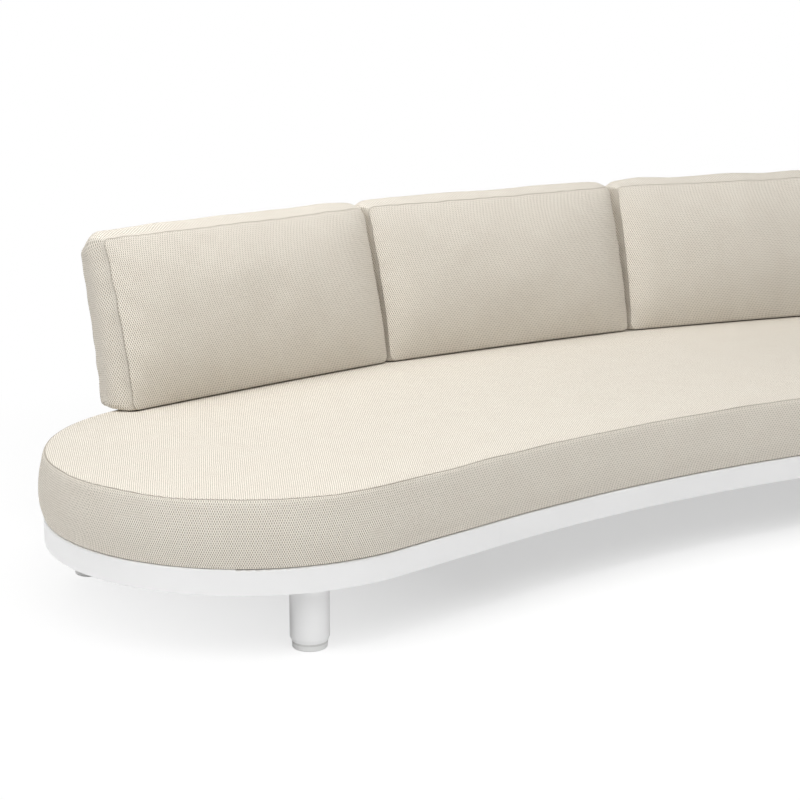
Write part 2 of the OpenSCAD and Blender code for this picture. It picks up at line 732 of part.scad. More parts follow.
// Loop round a back cushion, grown by off, with its sides drawn in between the corners
function back_loop(off, y, scale = 1) =
  let (a = back_w / 2 + off, h = back_h / 2, r = back_corner_r + off,
    c = [corner(a - r, off + r - h - 2 * off, r, -90), corner(a - r, h + off - r, r, 0),
      corner(r - a, h + off - r, r, 90), corner(r - a, off + r - h - 2 * off, r, 180)],
    loop = concat(c[0], between(c[0][corner_steps], c[1][0], side_steps),
      c[1], between(c[1][corner_steps], c[2][0], 2 * side_steps),
      c[2], between(c[2][corner_steps], c[3][0], side_steps),
      c[3], between(c[3][corner_steps], c[0][0], 2 * side_steps)))
  [for (p = loop) let (u = p[0] / a, v = p[1] / (h + off))
    [scale * (p[0] - back_draw * u * (1 - v * v)), y, h + scale * (p[1] - back_draw * v * (1 - u * u))]];

// Depth and swell of a back cushion's side panels, as shares of back_t and back_bulge
back_side = [[0, 0], [0.12, 0.7], [0.5, 1], [0.88, 0.7], [1, 0]];
// Sizes of the loops on the crowned front, as shares of the seam's
crown_scales = [0.25, 0.5, 0.72, 0.88, 0.96];

// Back cushion as one closed form in its own axes: the crowned front, the sides and the flat rear
module back_form() {
  front = [for (s = crown_scales) back_loop(0, -back_crown * (1 - pow(s, 3)), s)];
  side = [for (p = back_side) back_loop(p[1] * back_bulge, p[0] * back_t)];
  loops = concat(front, side);
  count = len(loops[0]);
  points = concat([for (loop = loops) each loop], [[0, -back_crown, back_h / 2], [0, back_t, back_h / 2]]);
  centre = len(loops) * count;
  last = (len(loops) - 1) * count;
  skin = [for (j = [0:len(loops) - 2], i = [0:count - 1]) let (k = (i + 1) % count)
    each quad(j * count + i, j * count + k, (j + 1) * count + k, (j + 1) * count + i)];
  caps = [for (i = [0:count - 1]) let (k = (i + 1) % count)
    each [[centre, k, i], [centre + 1, last + i, last + k]]];
  polyhedron(points, concat(skin, caps));
}

// Foam core, or the hollow for it, shrunk by gap: a block with rounded upright edges
module back_core(gap) {
  w = back_w - 2 * cover_t - 2 * gap;
  t = back_t - 2 * cover_t - 2 * gap;
  low = max(cover_t, (core_floor + (back_t - cover_t) * sin(back_lean)) / cos(back_lean)) + gap;
  translate([0, cover_t + gap + t / 2, low]) linear_extrude(back_h - cover_t - gap - low) {
    square([w - t, t], center = true);
    for (side = [-1, 1]) translate([side * (w - t) / 2, 0]) circle(d = t);
  }
}

// Cover that stands flat on the seat, with the hollow for its foam core
module back_cover(t) {
  color("antiquewhite") place() difference() {
    on_back(t) back_form();
    around(t) translate([-back_w, back_d - back_w, back_base_z - back_w])
      cube([2 * back_w, 2 * back_w, back_w]);
    on_back(t) back_core(0);
  }
}

module back_foam(t) {
  color("khaki") place() on_back(t) back_core(soft_gap);
}

module back_cover_left() { back_cover(-back_step); }
module back_cover_middle() { back_cover(0); }
module back_cover_right() { back_cover(back_step); }
module back_foam_left() { back_foam(-back_step); }
module back_foam_middle() { back_foam(0); }
module back_foam_right() { back_foam(back_step); }

rim_front();
rim_rear();
rim_run_left();
rim_run_right();
rim_end_left();
rim_end_right();
beam_1();
beam_2();
beam_3();
beam_4();
beam_5();
end_beam_left();
end_beam_right();
deck_1();
deck_2();
deck_3();
deck_4();
deck_5();
deck_6();
deck_screws();
leg_front_left();
leg_front_right();
leg_rear_left();
leg_rear_right();
leg_middle();
leg_rear_middle();
leg_plugs();
leg_bolts();
glide_front_left();
glide_front_right();
glide_rear_left();
glide_rear_right();
glide_middle();
glide_rear_middle();
socket_1();
socket_2();
socket_3();
socket_4();
socket_5();
socket_6();
socket_bolts();
upright_1();
upright_2();
upright_3();
upright_4();
upright_5();
upright_6();
back_panel_left();
back_panel_middle();
back_panel_right();
seat_cover();
seat_foam();
back_cover_left();
back_cover_middle();
back_cover_right();
back_foam_left();
back_foam_middle();
back_foam_right();
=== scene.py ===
"""Looks, studio and camera for the curved outdoor sofa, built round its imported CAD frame.

Everything is in metres in the CAD's own frame: +X runs along the sofa, the front faces -Y and z = 0 is the
floor. The rigid nodes keep their CAD shape and get a finish. The covers and their foam are replaced by
cushions with a sewn seam, which a short cloth simulation fills.
"""

import json
import logging
import math
from collections.abc import Sequence
from dataclasses import asdict, dataclass
from enum import Enum
from typing import Any

import bmesh
import bpy
import numpy as np
from bpy.types import Material, Node, NodeSocket, NodeTree, Object
from mathutils import Matrix, Vector


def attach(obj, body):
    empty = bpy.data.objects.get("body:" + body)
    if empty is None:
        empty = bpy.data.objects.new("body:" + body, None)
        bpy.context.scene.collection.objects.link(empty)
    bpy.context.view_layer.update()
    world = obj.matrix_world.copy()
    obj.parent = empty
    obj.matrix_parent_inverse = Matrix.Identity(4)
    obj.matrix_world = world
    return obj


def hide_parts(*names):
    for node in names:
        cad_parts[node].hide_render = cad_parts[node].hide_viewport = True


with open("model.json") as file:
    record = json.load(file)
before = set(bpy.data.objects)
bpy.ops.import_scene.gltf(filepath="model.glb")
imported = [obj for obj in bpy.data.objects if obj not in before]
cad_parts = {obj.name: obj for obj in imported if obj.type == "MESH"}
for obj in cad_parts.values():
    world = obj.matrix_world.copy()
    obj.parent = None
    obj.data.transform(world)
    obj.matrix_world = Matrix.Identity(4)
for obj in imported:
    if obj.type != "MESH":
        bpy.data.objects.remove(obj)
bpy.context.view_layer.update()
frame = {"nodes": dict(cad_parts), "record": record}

Array = np.ndarray
LOG = logging.getLogger("sofa")
MM = 0.001
WEAVE_MAP = "weave"
# Point attribute that paints a darker colour along the seams: painted shade in the seam's fold, partly the
# thread's darker tone
SEAM_SHADE_MAP = "seam"
# The arcs that the rim, the seat and the backs follow have their centre here, on x = 0
CENTRE_Y = -4.28759
# Blender's noise lies between these at nearly all places
NOISE_LOW, NOISE_HIGH = 0.3, 0.7


# ---------------------------------------------------------------- helpers


def linear(colour: str) -> tuple[float, float, float, float]:
    """Turns an sRGB colour into the linear one that Blender works in.

    Args:
        colour: Six hex digits after "#".

    Returns:
        Red, green, blue and an alpha of 1.
    """
    parts = [int(colour[i:i + 2], 16) / 255 for i in (1, 3, 5)]
    red, green, blue = (c / 12.92 if c <= 0.04045 else ((c + 0.055) / 1.055) ** 2.4 for c in parts)
    return red, green, blue, 1.0


def add(tree: NodeTree, kind: str, inputs: dict[Any, Any] | None = None, **settings: Any) -> Node:
    """Adds one node to a tree.

    Args:
        tree: The material's, world's or Geometry Nodes tree.
        kind: The node's type name.
        inputs: For each input, by name or number, a value, an output, or a node whose first output feeds it.
        **settings: The node's own settings.

    Returns:
        The new node.
    """
    node = tree.nodes.new(kind)
    for key, value in settings.items():
        setattr(node, key, value)
    for key, value in (inputs or {}).items():
        if isinstance(value, Node):
            value = value.outputs[0]
        if isinstance(value, NodeSocket):
            tree.links.new(value, node.inputs[key])
        else:
            node.inputs[key].default_value = value
    return node


def emptied(data: Any) -> NodeTree:
    """Turns on the nodes of a material or a world.

    Args:
        data: The material or world.

    Returns:
        Its tree, with nothing in it.
    """
    data.use_nodes = True
    data.node_tree.nodes.clear()
    return data.node_tree


def unit(vectors: Array) -> Array:
    """Shortens or stretches each row to a length of 1."""
    return vectors / np.maximum(np.linalg.norm(vectors, axis=-1, keepdims=True), 1e-9)


def run_along(line: Array) -> Array:
    """Length of a line up to each of its points."""
    return np.concatenate([[0.0], np.cumsum(np.linalg.norm(np.diff(line, axis=0), axis=1))])


def smooth_noise(points: Array, size: float, seed: int) -> Array:
    """Smooth bumps from a few fixed waves, the same on each run.

    Args:
        points: Places, one row each.
        size: Typical width of a bump, in metres.
        seed: Picks the waves.

    Returns:
        One height for each place, from about -1 to 1.
    """
    rng = np.random.default_rng(seed)
    total = np.zeros(len(points))
    waves, narrow, wide = 9, 1.4, 2.6
    for _ in range(waves):
        way = unit(rng.normal(size=points.shape[1]))
        pitch = size * rng.uniform(narrow, wide)
        total += np.sin(points @ way * (2 * math.pi / pitch) + rng.uniform(0, 2 * math.pi))
    return total / math.sqrt(waves)


def linked(name: str, data: Any) -> Object:
    """Makes an object at the origin.

    Args:
        name: The object's name.
        data: Its mesh, camera or light.

    Returns:
        The object, linked to the scene.
    """
    obj = bpy.data.objects.new(name, data)
    bpy.context.scene.collection.objects.link(obj)
    return obj


def new_mesh(name: str, points: Array, faces: Sequence[Sequence[int]], finish: Material | None = None,
             smooth: bool = True) -> Object:
    """Makes a mesh object at the origin.

    Args:
        name: The piece's name.
        points: Vertex places.
        faces: Vertex numbers of each face.
        finish: The piece's material.
        smooth: Whether its faces are smooth-shaded.

    Returns:
        The object, linked to the scene.
    """
    mesh = bpy.data.meshes.new(name)
    mesh.from_pydata([tuple(p) for p in points], [], [tuple(f) for f in faces])
    mesh.polygons.foreach_set("use_smooth", [smooth] * len(mesh.polygons))
    if finish:
        mesh.materials.append(finish)
    return linked(name, mesh)


def evaluated(obj: Object) -> Object:
    """The object as its modifiers leave it."""
    return obj.evaluated_get(bpy.context.evaluated_depsgraph_get())


def facing_out(obj: Object) -> None:
    """Turns the faces of a mesh outwards.

    Args:
        obj: An object with a mesh of closed shells.
    """
    shell = bmesh.new()
    shell.from_mesh(obj.data)
    bmesh.ops.recalc_face_normals(shell, faces=shell.faces)
    shell.to_mesh(obj.data)
    shell.free()


# ---------------------------------------------------------------- finishes


def varied(tree: NodeTree, where: Any, size: float, low: float, high: float, octaves: float = 2.0) -> Node:
    """Adds noise of a real size, spread between two values.

    Args:
        tree: The material's tree.
        where: Coordinates in metres.
        size: Width of the noise's features, in metres.
        low: Value at the noise's dark places.
        high: Value at its light places.
        octaves: Steps of finer noise.

    Returns:
        The node that gives the value.
    """
    noise = add(tree, "ShaderNodeTexNoise", {"Vector": where, "Scale": 1 / size, "Detail": octaves})
    return add(tree, "ShaderNodeMapRange", {"Value": noise, "From Min": NOISE_LOW, "From Max": NOISE_HIGH,
                                            "To Min": low, "To Max": high})


@dataclass(frozen=True)
class Finish:
    """A surface in two close tints with a fine grain, on Object coordinates.

    Attributes:
        name: The real finish.
        light: Lighter tint, as sRGB hex digits.
        dark: Darker tint.
        roughness: Mean roughness.
        uneven: How far the roughness falls below the mean and rises above it.
        uneven_size: Width of the places where it does, or 0 for none.
        grain: Width of the grain's features.
        octaves: Steps of finer grain.
        relief: Strength and height of the grain's bump.
        patch: Width of the tints' patches, or 0 where the tints follow the grain.
        metallic: Share of metal.
        sheen: Weight of the fuzz that catches light from the side.
    """

    name: str
    light: str
    dark: str
    roughness: float = 0.5
    uneven: tuple[float, float] = (0.0, 0.0)
    uneven_size: float = 0.0
    grain: float = 1.0 * MM
    octaves: float = 2.0
    relief: tuple[float, float] = (0.2, 0.05 * MM)
    patch: float = 0.0
    metallic: float = 0.0
    sheen: float = 0.0

    def height(self, tree: NodeTree, where: NodeSocket) -> Any:
        """The grain's height, from 0 to 1."""
        return varied(tree, where, self.grain, 0, 1, self.octaves)

    def material(self) -> Material:
        """Builds the material.

        Returns:
            The material, under the real finish's name.
        """
        material = bpy.data.materials.new(self.name)
        tree = emptied(material)
        shader = add(tree, "ShaderNodeBsdfPrincipled", self.inputs(tree))
        add(tree, "ShaderNodeOutputMaterial", {"Surface": shader})
        return material

    def inputs(self, tree: NodeTree) -> dict[str, Any]:
        """What feeds the Principled shader.

        Args:
            tree: The material's tree, which gets the nodes.

        Returns:
            For each input of the shader, a value or what gives it.
        """
        where = add(tree, "ShaderNodeTexCoord").outputs["Object"]
        height = self.height(tree, where)
        share = varied(tree, where, self.patch, 0, 1) if self.patch else height
        rough: Any = self.roughness
        if self.uneven_size:
            below, above = self.uneven
            rough = varied(tree, where, self.uneven_size, self.roughness - below, self.roughness + above)
        strength, distance = self.relief
        bump = add(tree, "ShaderNodeBump", {"Height": height, "Strength": strength, "Distance": distance})
        tint = add(tree, "ShaderNodeMix", {"Factor": share, 6: linear(self.dark), 7: linear(self.light)},
                   data_type="RGBA")
        return {"Base Color": tint.outputs[2], "Roughness": rough, "Metallic": self.metallic,
                "Sheen Weight": self.sheen, "Normal": bump}


@dataclass(frozen=True)
class PowderCoat(Finish):
    """Polyester powder baked on aluminium: the eye gets an even paint with a faint orange peel."""

    uneven: tuple[float, float] = (0.04, 0.04)
    uneven_size: float = 30 * MM
    grain: float = 1.8 * MM
    relief: tuple[float, float] = (0.12, 0.05 * MM)
    patch: float = 240 * MM


@dataclass(frozen=True)
class Steel(Finish):
    """Stainless steel, turned and then left plain: a grey metal with fine turning marks."""

    roughness: float = 0.3
    uneven: tuple[float, float] = (0.06, 0.08)
    uneven_size: float = 8 * MM
    grain: float = 2 * MM
    relief: tuple[float, float] = (0.15, 0.02 * MM)
    metallic: float = 1.0
    closeness: tuple[float, float, float] = (1, 1, 12)

    def height(self, tree: NodeTree, where: NodeSocket) -> Any:
        """Marks that are long round the turned axis and close together along it."""
        marks = add(tree, "ShaderNodeMapping", {"Vector": where, "Scale": self.closeness})
        return super().height(tree, marks)


@dataclass(frozen=True)
class MouldedPlastic(Finish):
    """Injection-moulded nylon or acetal: a matt tint with the fine erosion texture of its tool."""

    roughness: float = 0.55
    uneven: tuple[float, float] = (0.05, 0.05)
    uneven_size: float = 5 * MM
    grain: float = 0.6 * MM
    octaves: float = 3.0
    relief: tuple[float, float] = (0.25, 0.04 * MM)
    patch: float = 25 * MM


@dataclass(frozen=True)
class SewingThread(Finish):
    """Bonded polyester thread: matt beige, twisted, a little darker than the weave."""

    roughness: float = 0.75
    grain: float = 0.8 * MM
    relief: tuple[float, float] = (0.4, 0.1 * MM)
    sheen: float = 0.2


@dataclass(frozen=True)
class ZipTape(Finish):
    """Woven polyester tape of a zip: a tight twill, beige like the cover."""

    roughness: float = 0.85
    grain: float = 1.2 * MM
    relief: tuple[float, float] = (0.4, 0.2 * MM)
    bend: float = 0.6

    # Length in which Blender's wave texture turns over at a scale of 1
    turn_over = 0.31

    def height(self, tree: NodeTree, where: NodeSocket) -> Any:
        """The twill's ribs, a little bent."""
        ribs = {"Vector": where, "Scale": self.turn_over / self.grain, "Distortion": self.bend, "Detail": 1.0}
        return add(tree, "ShaderNodeTexWave", ribs, bands_direction="DIAGONAL").outputs["Fac"]


@dataclass(frozen=True)
class CoverWeave(Finish):
    """Solution-dyed outdoor weave: cream yarns float over darker ties that stand in a diamond lattice.

    The map is in metres on the cloth, so the yarns follow each panel. The columns stand 2.6 mm apart as the
    real ones do, and the ties are drawn darker than real ones so that they show at this distance.
    """

    roughness: float = 0.9
    grain: float = 0.7 * MM
    relief: tuple[float, float] = (0.5, 0.5 * MM)
    patch: float = 60 * MM
    sheen: float = 0.12
    tie: str = "#989081"
    # Colour painted along the seams: painted shade in the seam's fold, partly the thread's darker tone
    seam: str = "#6E675B"
    fuzz: str = "#F2ECE0"
    column: float = 2.6 * MM
    row: float = 5.3 * MM
    tie_range: tuple[float, float] = (-0.05, 0.55)
    tie_size: float = 7 * MM
    tie_uneven: tuple[float, float] = (0.75, 1.15)
    fibre: float = 0.35
    specular: float = 0.25
    fuzz_roughness: float = 0.6
    drift: tuple[float, float, float] = (0.0022, 0.0030, 0.0)
    drift_size: float = 28 * MM

    def lattice(self, tree: NodeTree, where: NodeSocket) -> NodeSocket:
        """Share of the tie's colour at each place: the product of two waves, a little bent and uneven.

        Args:
            tree: The material's tree.
            where: The map of the weave.

        Returns:
            The share's output.
        """
        noise = add(tree, "ShaderNodeTexNoise", {"Vector": where, "Scale": 1 / self.drift_size,
                                                 "Detail": 1.0})
        shift = add(tree, "ShaderNodeVectorMath", {0: noise.outputs["Color"], 1: (-0.5, -0.5, -0.5)},
                    operation="ADD")
        bent = add(tree, "ShaderNodeVectorMath", {0: shift, 1: self.drift, 2: where},
                   operation="MULTIPLY_ADD")
        axes = add(tree, "ShaderNodeSeparateXYZ", {"Vector": bent}).outputs
        waves = []
        for place, spacing in ((axes["X"], self.column), (axes["Y"], self.row)):
            turn = add(tree, "ShaderNodeMath", {0: place, 1: math.pi / spacing}, operation="MULTIPLY")
            waves.append(add(tree, "ShaderNodeMath", {0: turn}, operation="COSINE"))
        crossed = add(tree, "ShaderNodeMath", {0: waves[0], 1: waves[1]}, operation="MULTIPLY")
        tie = add(tree, "ShaderNodeMapRange", {"Value": crossed,
                                               "From Min": self.tie_range[0],
                                               "From Max": self.tie_range[1]},
                  interpolation_type="SMOOTHSTEP")
        uneven = varied(tree, where, self.tie_size, *self.tie_uneven, 1)
        share = add(tree, "ShaderNodeMath", {0: tie, 1: uneven}, operation="MULTIPLY", use_clamp=True)
        return share.outputs[0]

    def inputs(self, tree: NodeTree) -> dict[str, Any]:
        """What feeds the Principled shader, on the piece's own map of the weave.

        Args:
            tree: The material's tree, which gets the nodes.

        Returns:
            For each input of the shader, a value or what gives it.
        """
        where = add(tree, "ShaderNodeUVMap", uv_map=WEAVE_MAP).outputs["UV"]
        share = self.lattice(tree, where)
        # Mixes the seam colour in along the seams: painted shade in the fold, partly the thread's darker tone
        fold = add(tree, "ShaderNodeAttribute", attribute_name=SEAM_SHADE_MAP).outputs["Fac"]
        colour: Any = linear(self.dark)
        for part, tint in ((varied(tree, where, self.patch, 0, 1), self.light), (share, self.tie),
                           (fold, self.seam)):
            colour = add(tree, "ShaderNodeMix", {"Factor": part, 6: colour, 7: linear(tint)},
                         data_type="RGBA").outputs[2]
        fibre = varied(tree, where, self.grain, 0, self.fibre, self.octaves)
        sunk = add(tree, "ShaderNodeMath", {0: fibre, 1: share}, operation="SUBTRACT")
        strength, distance = self.relief
        bump = add(tree, "ShaderNodeBump", {"Height": sunk, "Strength": strength, "Distance": distance})
        return {"Base Color": colour, "Roughness": self.roughness, "Specular IOR Level": self.specular,
                "Sheen Weight": self.sheen, "Sheen Roughness": self.fuzz_roughness,
                "Sheen Tint": linear(self.fuzz), "Normal": bump}


@dataclass(frozen=True)
class StudioFloor:
    """Seamless white paper: white to the camera, but it keeps a part of the sofa's soft shadow. Painted
    light: towards the left end the shadow is kept weaker, which paints the floor there lighter than the lamps
    leave it."""

    name: str = "white_studio_floor"
    shadow: float = 0.45
    # Share of the shadow kept at the left end, where painted light makes the floor lighter
    least_shadow_under_painted_light: float = 0.05
    left: float = -1.8
    middle: float = -0.7
    near: float = 1.1
    far: float = 2.2
    squash: tuple[float, float, float] = (0.6, 1.0, 0.0)

    def material(self) -> Material:
        """Builds a floor that lights the sofa as paper does and shows the camera a lighter shadow.

        Returns:
            The material. Its shadow fades out between the near and the far distance from the sofa, and
            painted light weakens it towards the left end.
        """
        material = bpy.data.materials.new(self.name)
        tree = emptied(material)
        paper = add(tree, "ShaderNodeBsdfDiffuse", {"Color": linear("#FFFFFF")})
        white = add(tree, "ShaderNodeEmission", {"Color": linear("#FFFFFF"), "Strength": 1.0})
        where = add(tree, "ShaderNodeTexCoord").outputs["Object"]
        oval = add(tree, "ShaderNodeVectorMath", {0: where, 1: self.squash}, operation="MULTIPLY")
        away = add(tree, "ShaderNodeVectorMath", {0: oval}, operation="LENGTH").outputs["Value"]
        fading = add(tree, "ShaderNodeMapRange", {"Value": away, "From Min": self.near, "From Max": self.far,
                                                  "To Min": 1.0, "To Max": 0.0},
                     interpolation_type="SMOOTHSTEP")
        # Painted light: the kept share of the shadow falls from the middle to the left end, so the floor is
        # painted lighter towards the left
        along = add(tree, "ShaderNodeSeparateXYZ", {"Vector": where})
        depth = add(tree, "ShaderNodeMapRange", {"Value": along, "From Min": self.left,
                                                 "From Max": self.middle, "To Min": self.least_shadow_under_painted_light,
                                                 "To Max": self.shadow})
        share = add(tree, "ShaderNodeMath", {0: fading, 1: depth}, operation="MULTIPLY")
        seen = add(tree, "ShaderNodeMixShader", {"Fac": share, 1: white, 2: paper})
        rays = add(tree, "ShaderNodeLightPath").outputs["Is Camera Ray"]
        mix = add(tree, "ShaderNodeMixShader", {"Fac": rays, 1: paper, 2: seen})
        add(tree, "ShaderNodeOutputMaterial", {"Surface": mix})
        return material


class Palette:
    """The sofa's materials, made once."""

    def __init__(self) -> None:
        """Makes every finish of the sofa."""
        self.coat = PowderCoat("satin_white_powder_coat", "#F5F5F5", "#F1F1F1", 0.42).material()
        self.hidden_coat = PowderCoat("matt_grey_powder_coat", "#CDCDCB", "#C3C3C1", 0.62).material()
        self.glide_coat = PowderCoat("grey_powder_coated_steel", "#F0F0EF", "#E9E9E8", 0.5).material()
        self.steel = Steel("turned_stainless_steel", "#C9CACB", "#B2B3B5").material()
        self.plug = MouldedPlastic("grey_moulded_nylon", "#DCDCDA", "#D2D2D0").material()
        self.weave = CoverWeave("cream_outdoor_weave", "#EBE5DA", "#E8E1D6").material()
        self.thread = SewingThread("bonded_sewing_thread", "#A89D8B", "#8D8271").material()
        self.tape = ZipTape("woven_zip_tape", "#D8CFC0", "#C2B8A7").material()
        self.zip_teeth = MouldedPlastic("moulded_zip_acetal", "#CFC6B7", "#C4BAAA", 0.4).material()


# ---------------------------------------------------------------- studio


@dataclass(frozen=True)
class Camera:
    """The photograph's viewpoint, fitted to the rim, the seams and the leg."""

    place: tuple[float, float, float] = (-3.2435, -4.1047, 1.5303)
    pitch: float = math.radians(13.33)
    azimuth: float = math.radians(32.14)
    lens: float = 86.58
    sensor: float = 36.0
    reach: float = 400.0

    def build(self) -> None:
        """Makes the camera and gives it to the scene."""
        data = bpy.data.cameras.new("camera")
        data.lens, data.sensor_width, data.clip_end = self.lens, self.sensor, self.reach
        camera = linked("camera", data)
        camera.location = self.place
        camera.rotation_euler = (math.pi / 2 - self.pitch, 0.0, -self.azimuth)
        bpy.context.scene.camera = camera


@dataclass(frozen=True)
class Lamp:
    """A softbox: a square area lamp that faces a point."""

    name: str
    place: tuple[float, float, float]
    aim: tuple[float, float, float]
    side: float
    watts: float

    def build(self) -> None:
        """Makes the lamp."""
        data = bpy.data.lights.new(self.name, "AREA")
        data.shape, data.size, data.energy = "SQUARE", self.side, self.watts
        lamp = linked(self.name, data)
        lamp.location = self.place
        lamp.rotation_euler = (Vector(self.aim) - Vector(self.place)).to_track_quat("-Z", "Y").to_euler()


@dataclass(frozen=True)
class Studio:
    """White paper floor, a faint even dome and three softboxes."""

    dome: float = 0.08
    reach: float = 90.0
    lamps: tuple[Lamp, ...] = (
        Lamp("overhead_softbox", (-1.2, 0.4, 4.4), (-0.2, 0.1, 0.3), 4.5, 132.0),
        Lamp("front_softbox", (-0.8, -2.6, 4.2), (0.0, 0.2, 0.4), 3.5, 125.0),
        Lamp("left_softbox", (-4.5, -0.6, 3.8), (0.0, 0.1, 0.4), 3.0, 78.0))

    def build(self) -> None:
        """Makes the floor, the world and the lamps."""
        scene = bpy.context.scene
        scene.view_settings.view_transform = "Standard"
        scene.world = bpy.data.worlds.new("white_studio")
        tree = emptied(scene.world)
        rays = add(tree, "ShaderNodeLightPath").outputs
        seen = rays["Is Camera Ray"]
        for kind in ("Is Glossy Ray", "Is Transmission Ray"):
            seen = add(tree, "ShaderNodeMath", {0: seen, 1: rays[kind]}, operation="MAXIMUM").outputs[0]
        strength = add(tree, "ShaderNodeMapRange", {"Value": seen, "To Min": self.dome, "To Max": 1.0})
        sky = add(tree, "ShaderNodeBackground", {"Color": linear("#FFFFFF"), "Strength": strength})
        add(tree, "ShaderNodeOutputWorld", {"Surface": sky})
        corners = self.reach * np.array([(-1, -1, 0), (1, -1, 0), (1, 1, 0), (-1, 1, 0)])
        new_mesh("studio_floor", corners, [(0, 1, 2, 3)], StudioFloor().material())
        for lamp in self.lamps:
            lamp.build()


# ---------------------------------------------------------------- soft goods


@dataclass(frozen=True)
class Stuffing:
    """How a cushion's cover is blown up: how far a point may move, the pressure, and the cloth's settings."""

    cap: float
    pressure: float = 4.0
    frames: int = 20
    quality: int = 5
    mass: float = 0.35
    stretch: float = 18.0
    bending: float = 0.6

    def fill(self, name: str, points: Array, faces: Sequence[Sequence[int]], pinned: Array) -> Array:
        """Runs Blender's cloth on a closed cover.

        Args:
            name: The piece's name, for the helper object.
            points: Vertex places at the start.
            faces: The cover's faces.
            pinned: How firmly each vertex is held, from 0 to 1.

        Returns:
            The vertex places after the simulation, no further than cap from where they began.
        """
        obj = new_mesh(name + "_cloth", points, faces)
        group = obj.vertex_groups.new(name="held")
        for weight in np.unique(pinned[pinned > 0]):
            group.add([int(i) for i in np.flatnonzero(pinned == weight)], float(weight), "REPLACE")
        modifier = obj.modifiers.new("cloth", "CLOTH")
        cloth = modifier.settings
        cloth.quality = self.quality
        cloth.mass = self.mass
        cloth.tension_stiffness = cloth.compression_stiffness = self.stretch
        cloth.shear_stiffness = self.stretch / 3
        cloth.bending_stiffness = self.bending
        cloth.use_pressure = True
        cloth.uniform_pressure_force = self.pressure
        cloth.vertex_group_mass = "held"
        cloth.effector_weights.gravity = 0.0
        modifier.collision_settings.use_collision = False
        modifier.point_cache.frame_start, modifier.point_cache.frame_end = 1, self.frames
        scene = bpy.context.scene
        for number in range(1, self.frames + 1):
            scene.frame_set(number)
        found = np.zeros(points.size)
        evaluated(obj).data.vertices.foreach_get("co", found)
        bpy.data.objects.remove(obj)
        scene.frame_set(1)
        move = found.reshape(-1, 3) - points
        length = np.linalg.norm(move, axis=1, keepdims=True)
        return points + move * np.minimum(1, self.cap / np.maximum(length, 1e-9))


@dataclass(frozen=True)
class Row:
    """Small pieces at a pitch along a line, made with Geometry Nodes. The fields are the tree's inputs."""

    pitch: float
    length: float

    def piece(self, tree: NodeTree, given: Any) -> tuple[Node, Node]:
        """Adds the nodes of one piece and of its turn at each point of the line.

        Args:
            tree: The row's tree.
            given: The tree's inputs, by name.

        Returns:
            The node that gives the piece, and the one that gives its turn.
        """
        raise NotImplementedError

    def tree(self, finish: Material) -> NodeTree:
        """Builds the tree that stands one piece at each pitch along the line.

        Args:
            finish: The pieces' material.

        Returns:
            The tree. Its first input is the line's geometry.
        """
        tree = bpy.data.node_groups.new(type(self).__name__.lower(), "GeometryNodeTree")
        socket = tree.interface.new_socket
        socket("Line", in_out="INPUT", socket_type="NodeSocketGeometry")
        for name, value in asdict(self).items():
            socket(name.capitalize(), in_out="INPUT", socket_type="NodeSocketFloat").default_value = value
        socket("Row", in_out="OUTPUT", socket_type="NodeSocketGeometry")
        given = add(tree, "NodeGroupInput").outputs
        line = add(tree, "GeometryNodeMeshToCurve", {"Mesh": given["Line"]})
        steps = add(tree, "GeometryNodeResampleCurve", {"Curve": line, "Length": given["Pitch"]},
                    mode="LENGTH")
        shape, turned = self.piece(tree, given)
        row = add(tree, "GeometryNodeInstanceOnPoints", {"Points": steps, "Instance": shape,
                                                         "Rotation": turned})
        real = add(tree, "GeometryNodeRealizeInstances", {"Geometry": row})
        dressed = add(tree, "GeometryNodeSetMaterial", {"Geometry": real, "Material": finish})
        add(tree, "NodeGroupOutput", {"Row": dressed})
        return tree

    def lay(self, name: str, lines: Sequence[Array], finish: Material, out: Array | None = None) -> Object:
        """Lays the pieces along polylines and turns them into a plain mesh.

        Args:
            name: The row's name.
            lines: Points of each line.
            finish: The pieces' material.
            out: The cover's outward direction at each point of an open line, or None for closed lines.

        Returns:
            The row, without its modifier.
        """
        edges: list[tuple[int, int]] = []
        base = 0
        for line in lines:
            count = len(line)
            last = count if out is None else count - 1
            edges += [(base + i, base + (i + 1) % count) for i in range(last)]
            base += count
        mesh = bpy.data.meshes.new(name + "_line")
        mesh.from_pydata([tuple(p) for line in lines for p in line], edges, [])
        if out is not None:
            mesh.attributes.new("out", "FLOAT_VECTOR", "POINT").data.foreach_set("vector", out.ravel())
        carrier = linked(name + "_line", mesh)
        modifier = carrier.modifiers.new("rows", "NODES")
        modifier.node_group = self.tree(finish)
        for item in modifier.node_group.interface.items_tree:
            if item.in_out == "INPUT" and item.socket_type == "NodeSocketFloat":
                modifier[item.identifier] = item.default_value
        plain = bpy.data.meshes.new_from_object(evaluated(carrier))
        plain.name = name
        bpy.data.objects.remove(carrier)
        return linked(name, plain)


@dataclass(frozen=True)
class Stitches(Row):
    """Lockstitches sunk in a seam: small balls drawn out along it."""

    pitch: float = 5.0 * MM
    length: float = 4.0 * MM
    thickness: float = 1.0 * MM

    def piece(self, tree: NodeTree, given: Any) -> tuple[Node, Node]:
        """Adds the nodes of one stitch and of its turn along the seam.

        Args:
            tree: The row's tree.
            given: The tree's inputs, by name.

        Returns:
            The node that gives the stitch, and the one that gives its turn.
        """
        ball = add(tree, "GeometryNodeMeshUVSphere", {"Segments": 5, "Rings": 4, "Radius": 0.5})
        size = add(tree, "ShaderNodeCombineXYZ", {"X": given["Thickness"], "Y": given["Thickness"],
                                                  "Z": given["Length"]})
        drawn = add(tree, "GeometryNodeTransform", {"Geometry": ball, "Scale": size})
        tangent = add(tree, "GeometryNodeInputTangent")
        return drawn, add(tree, "FunctionNodeAlignRotationToVector", {"Vector": tangent}, axis="Z")


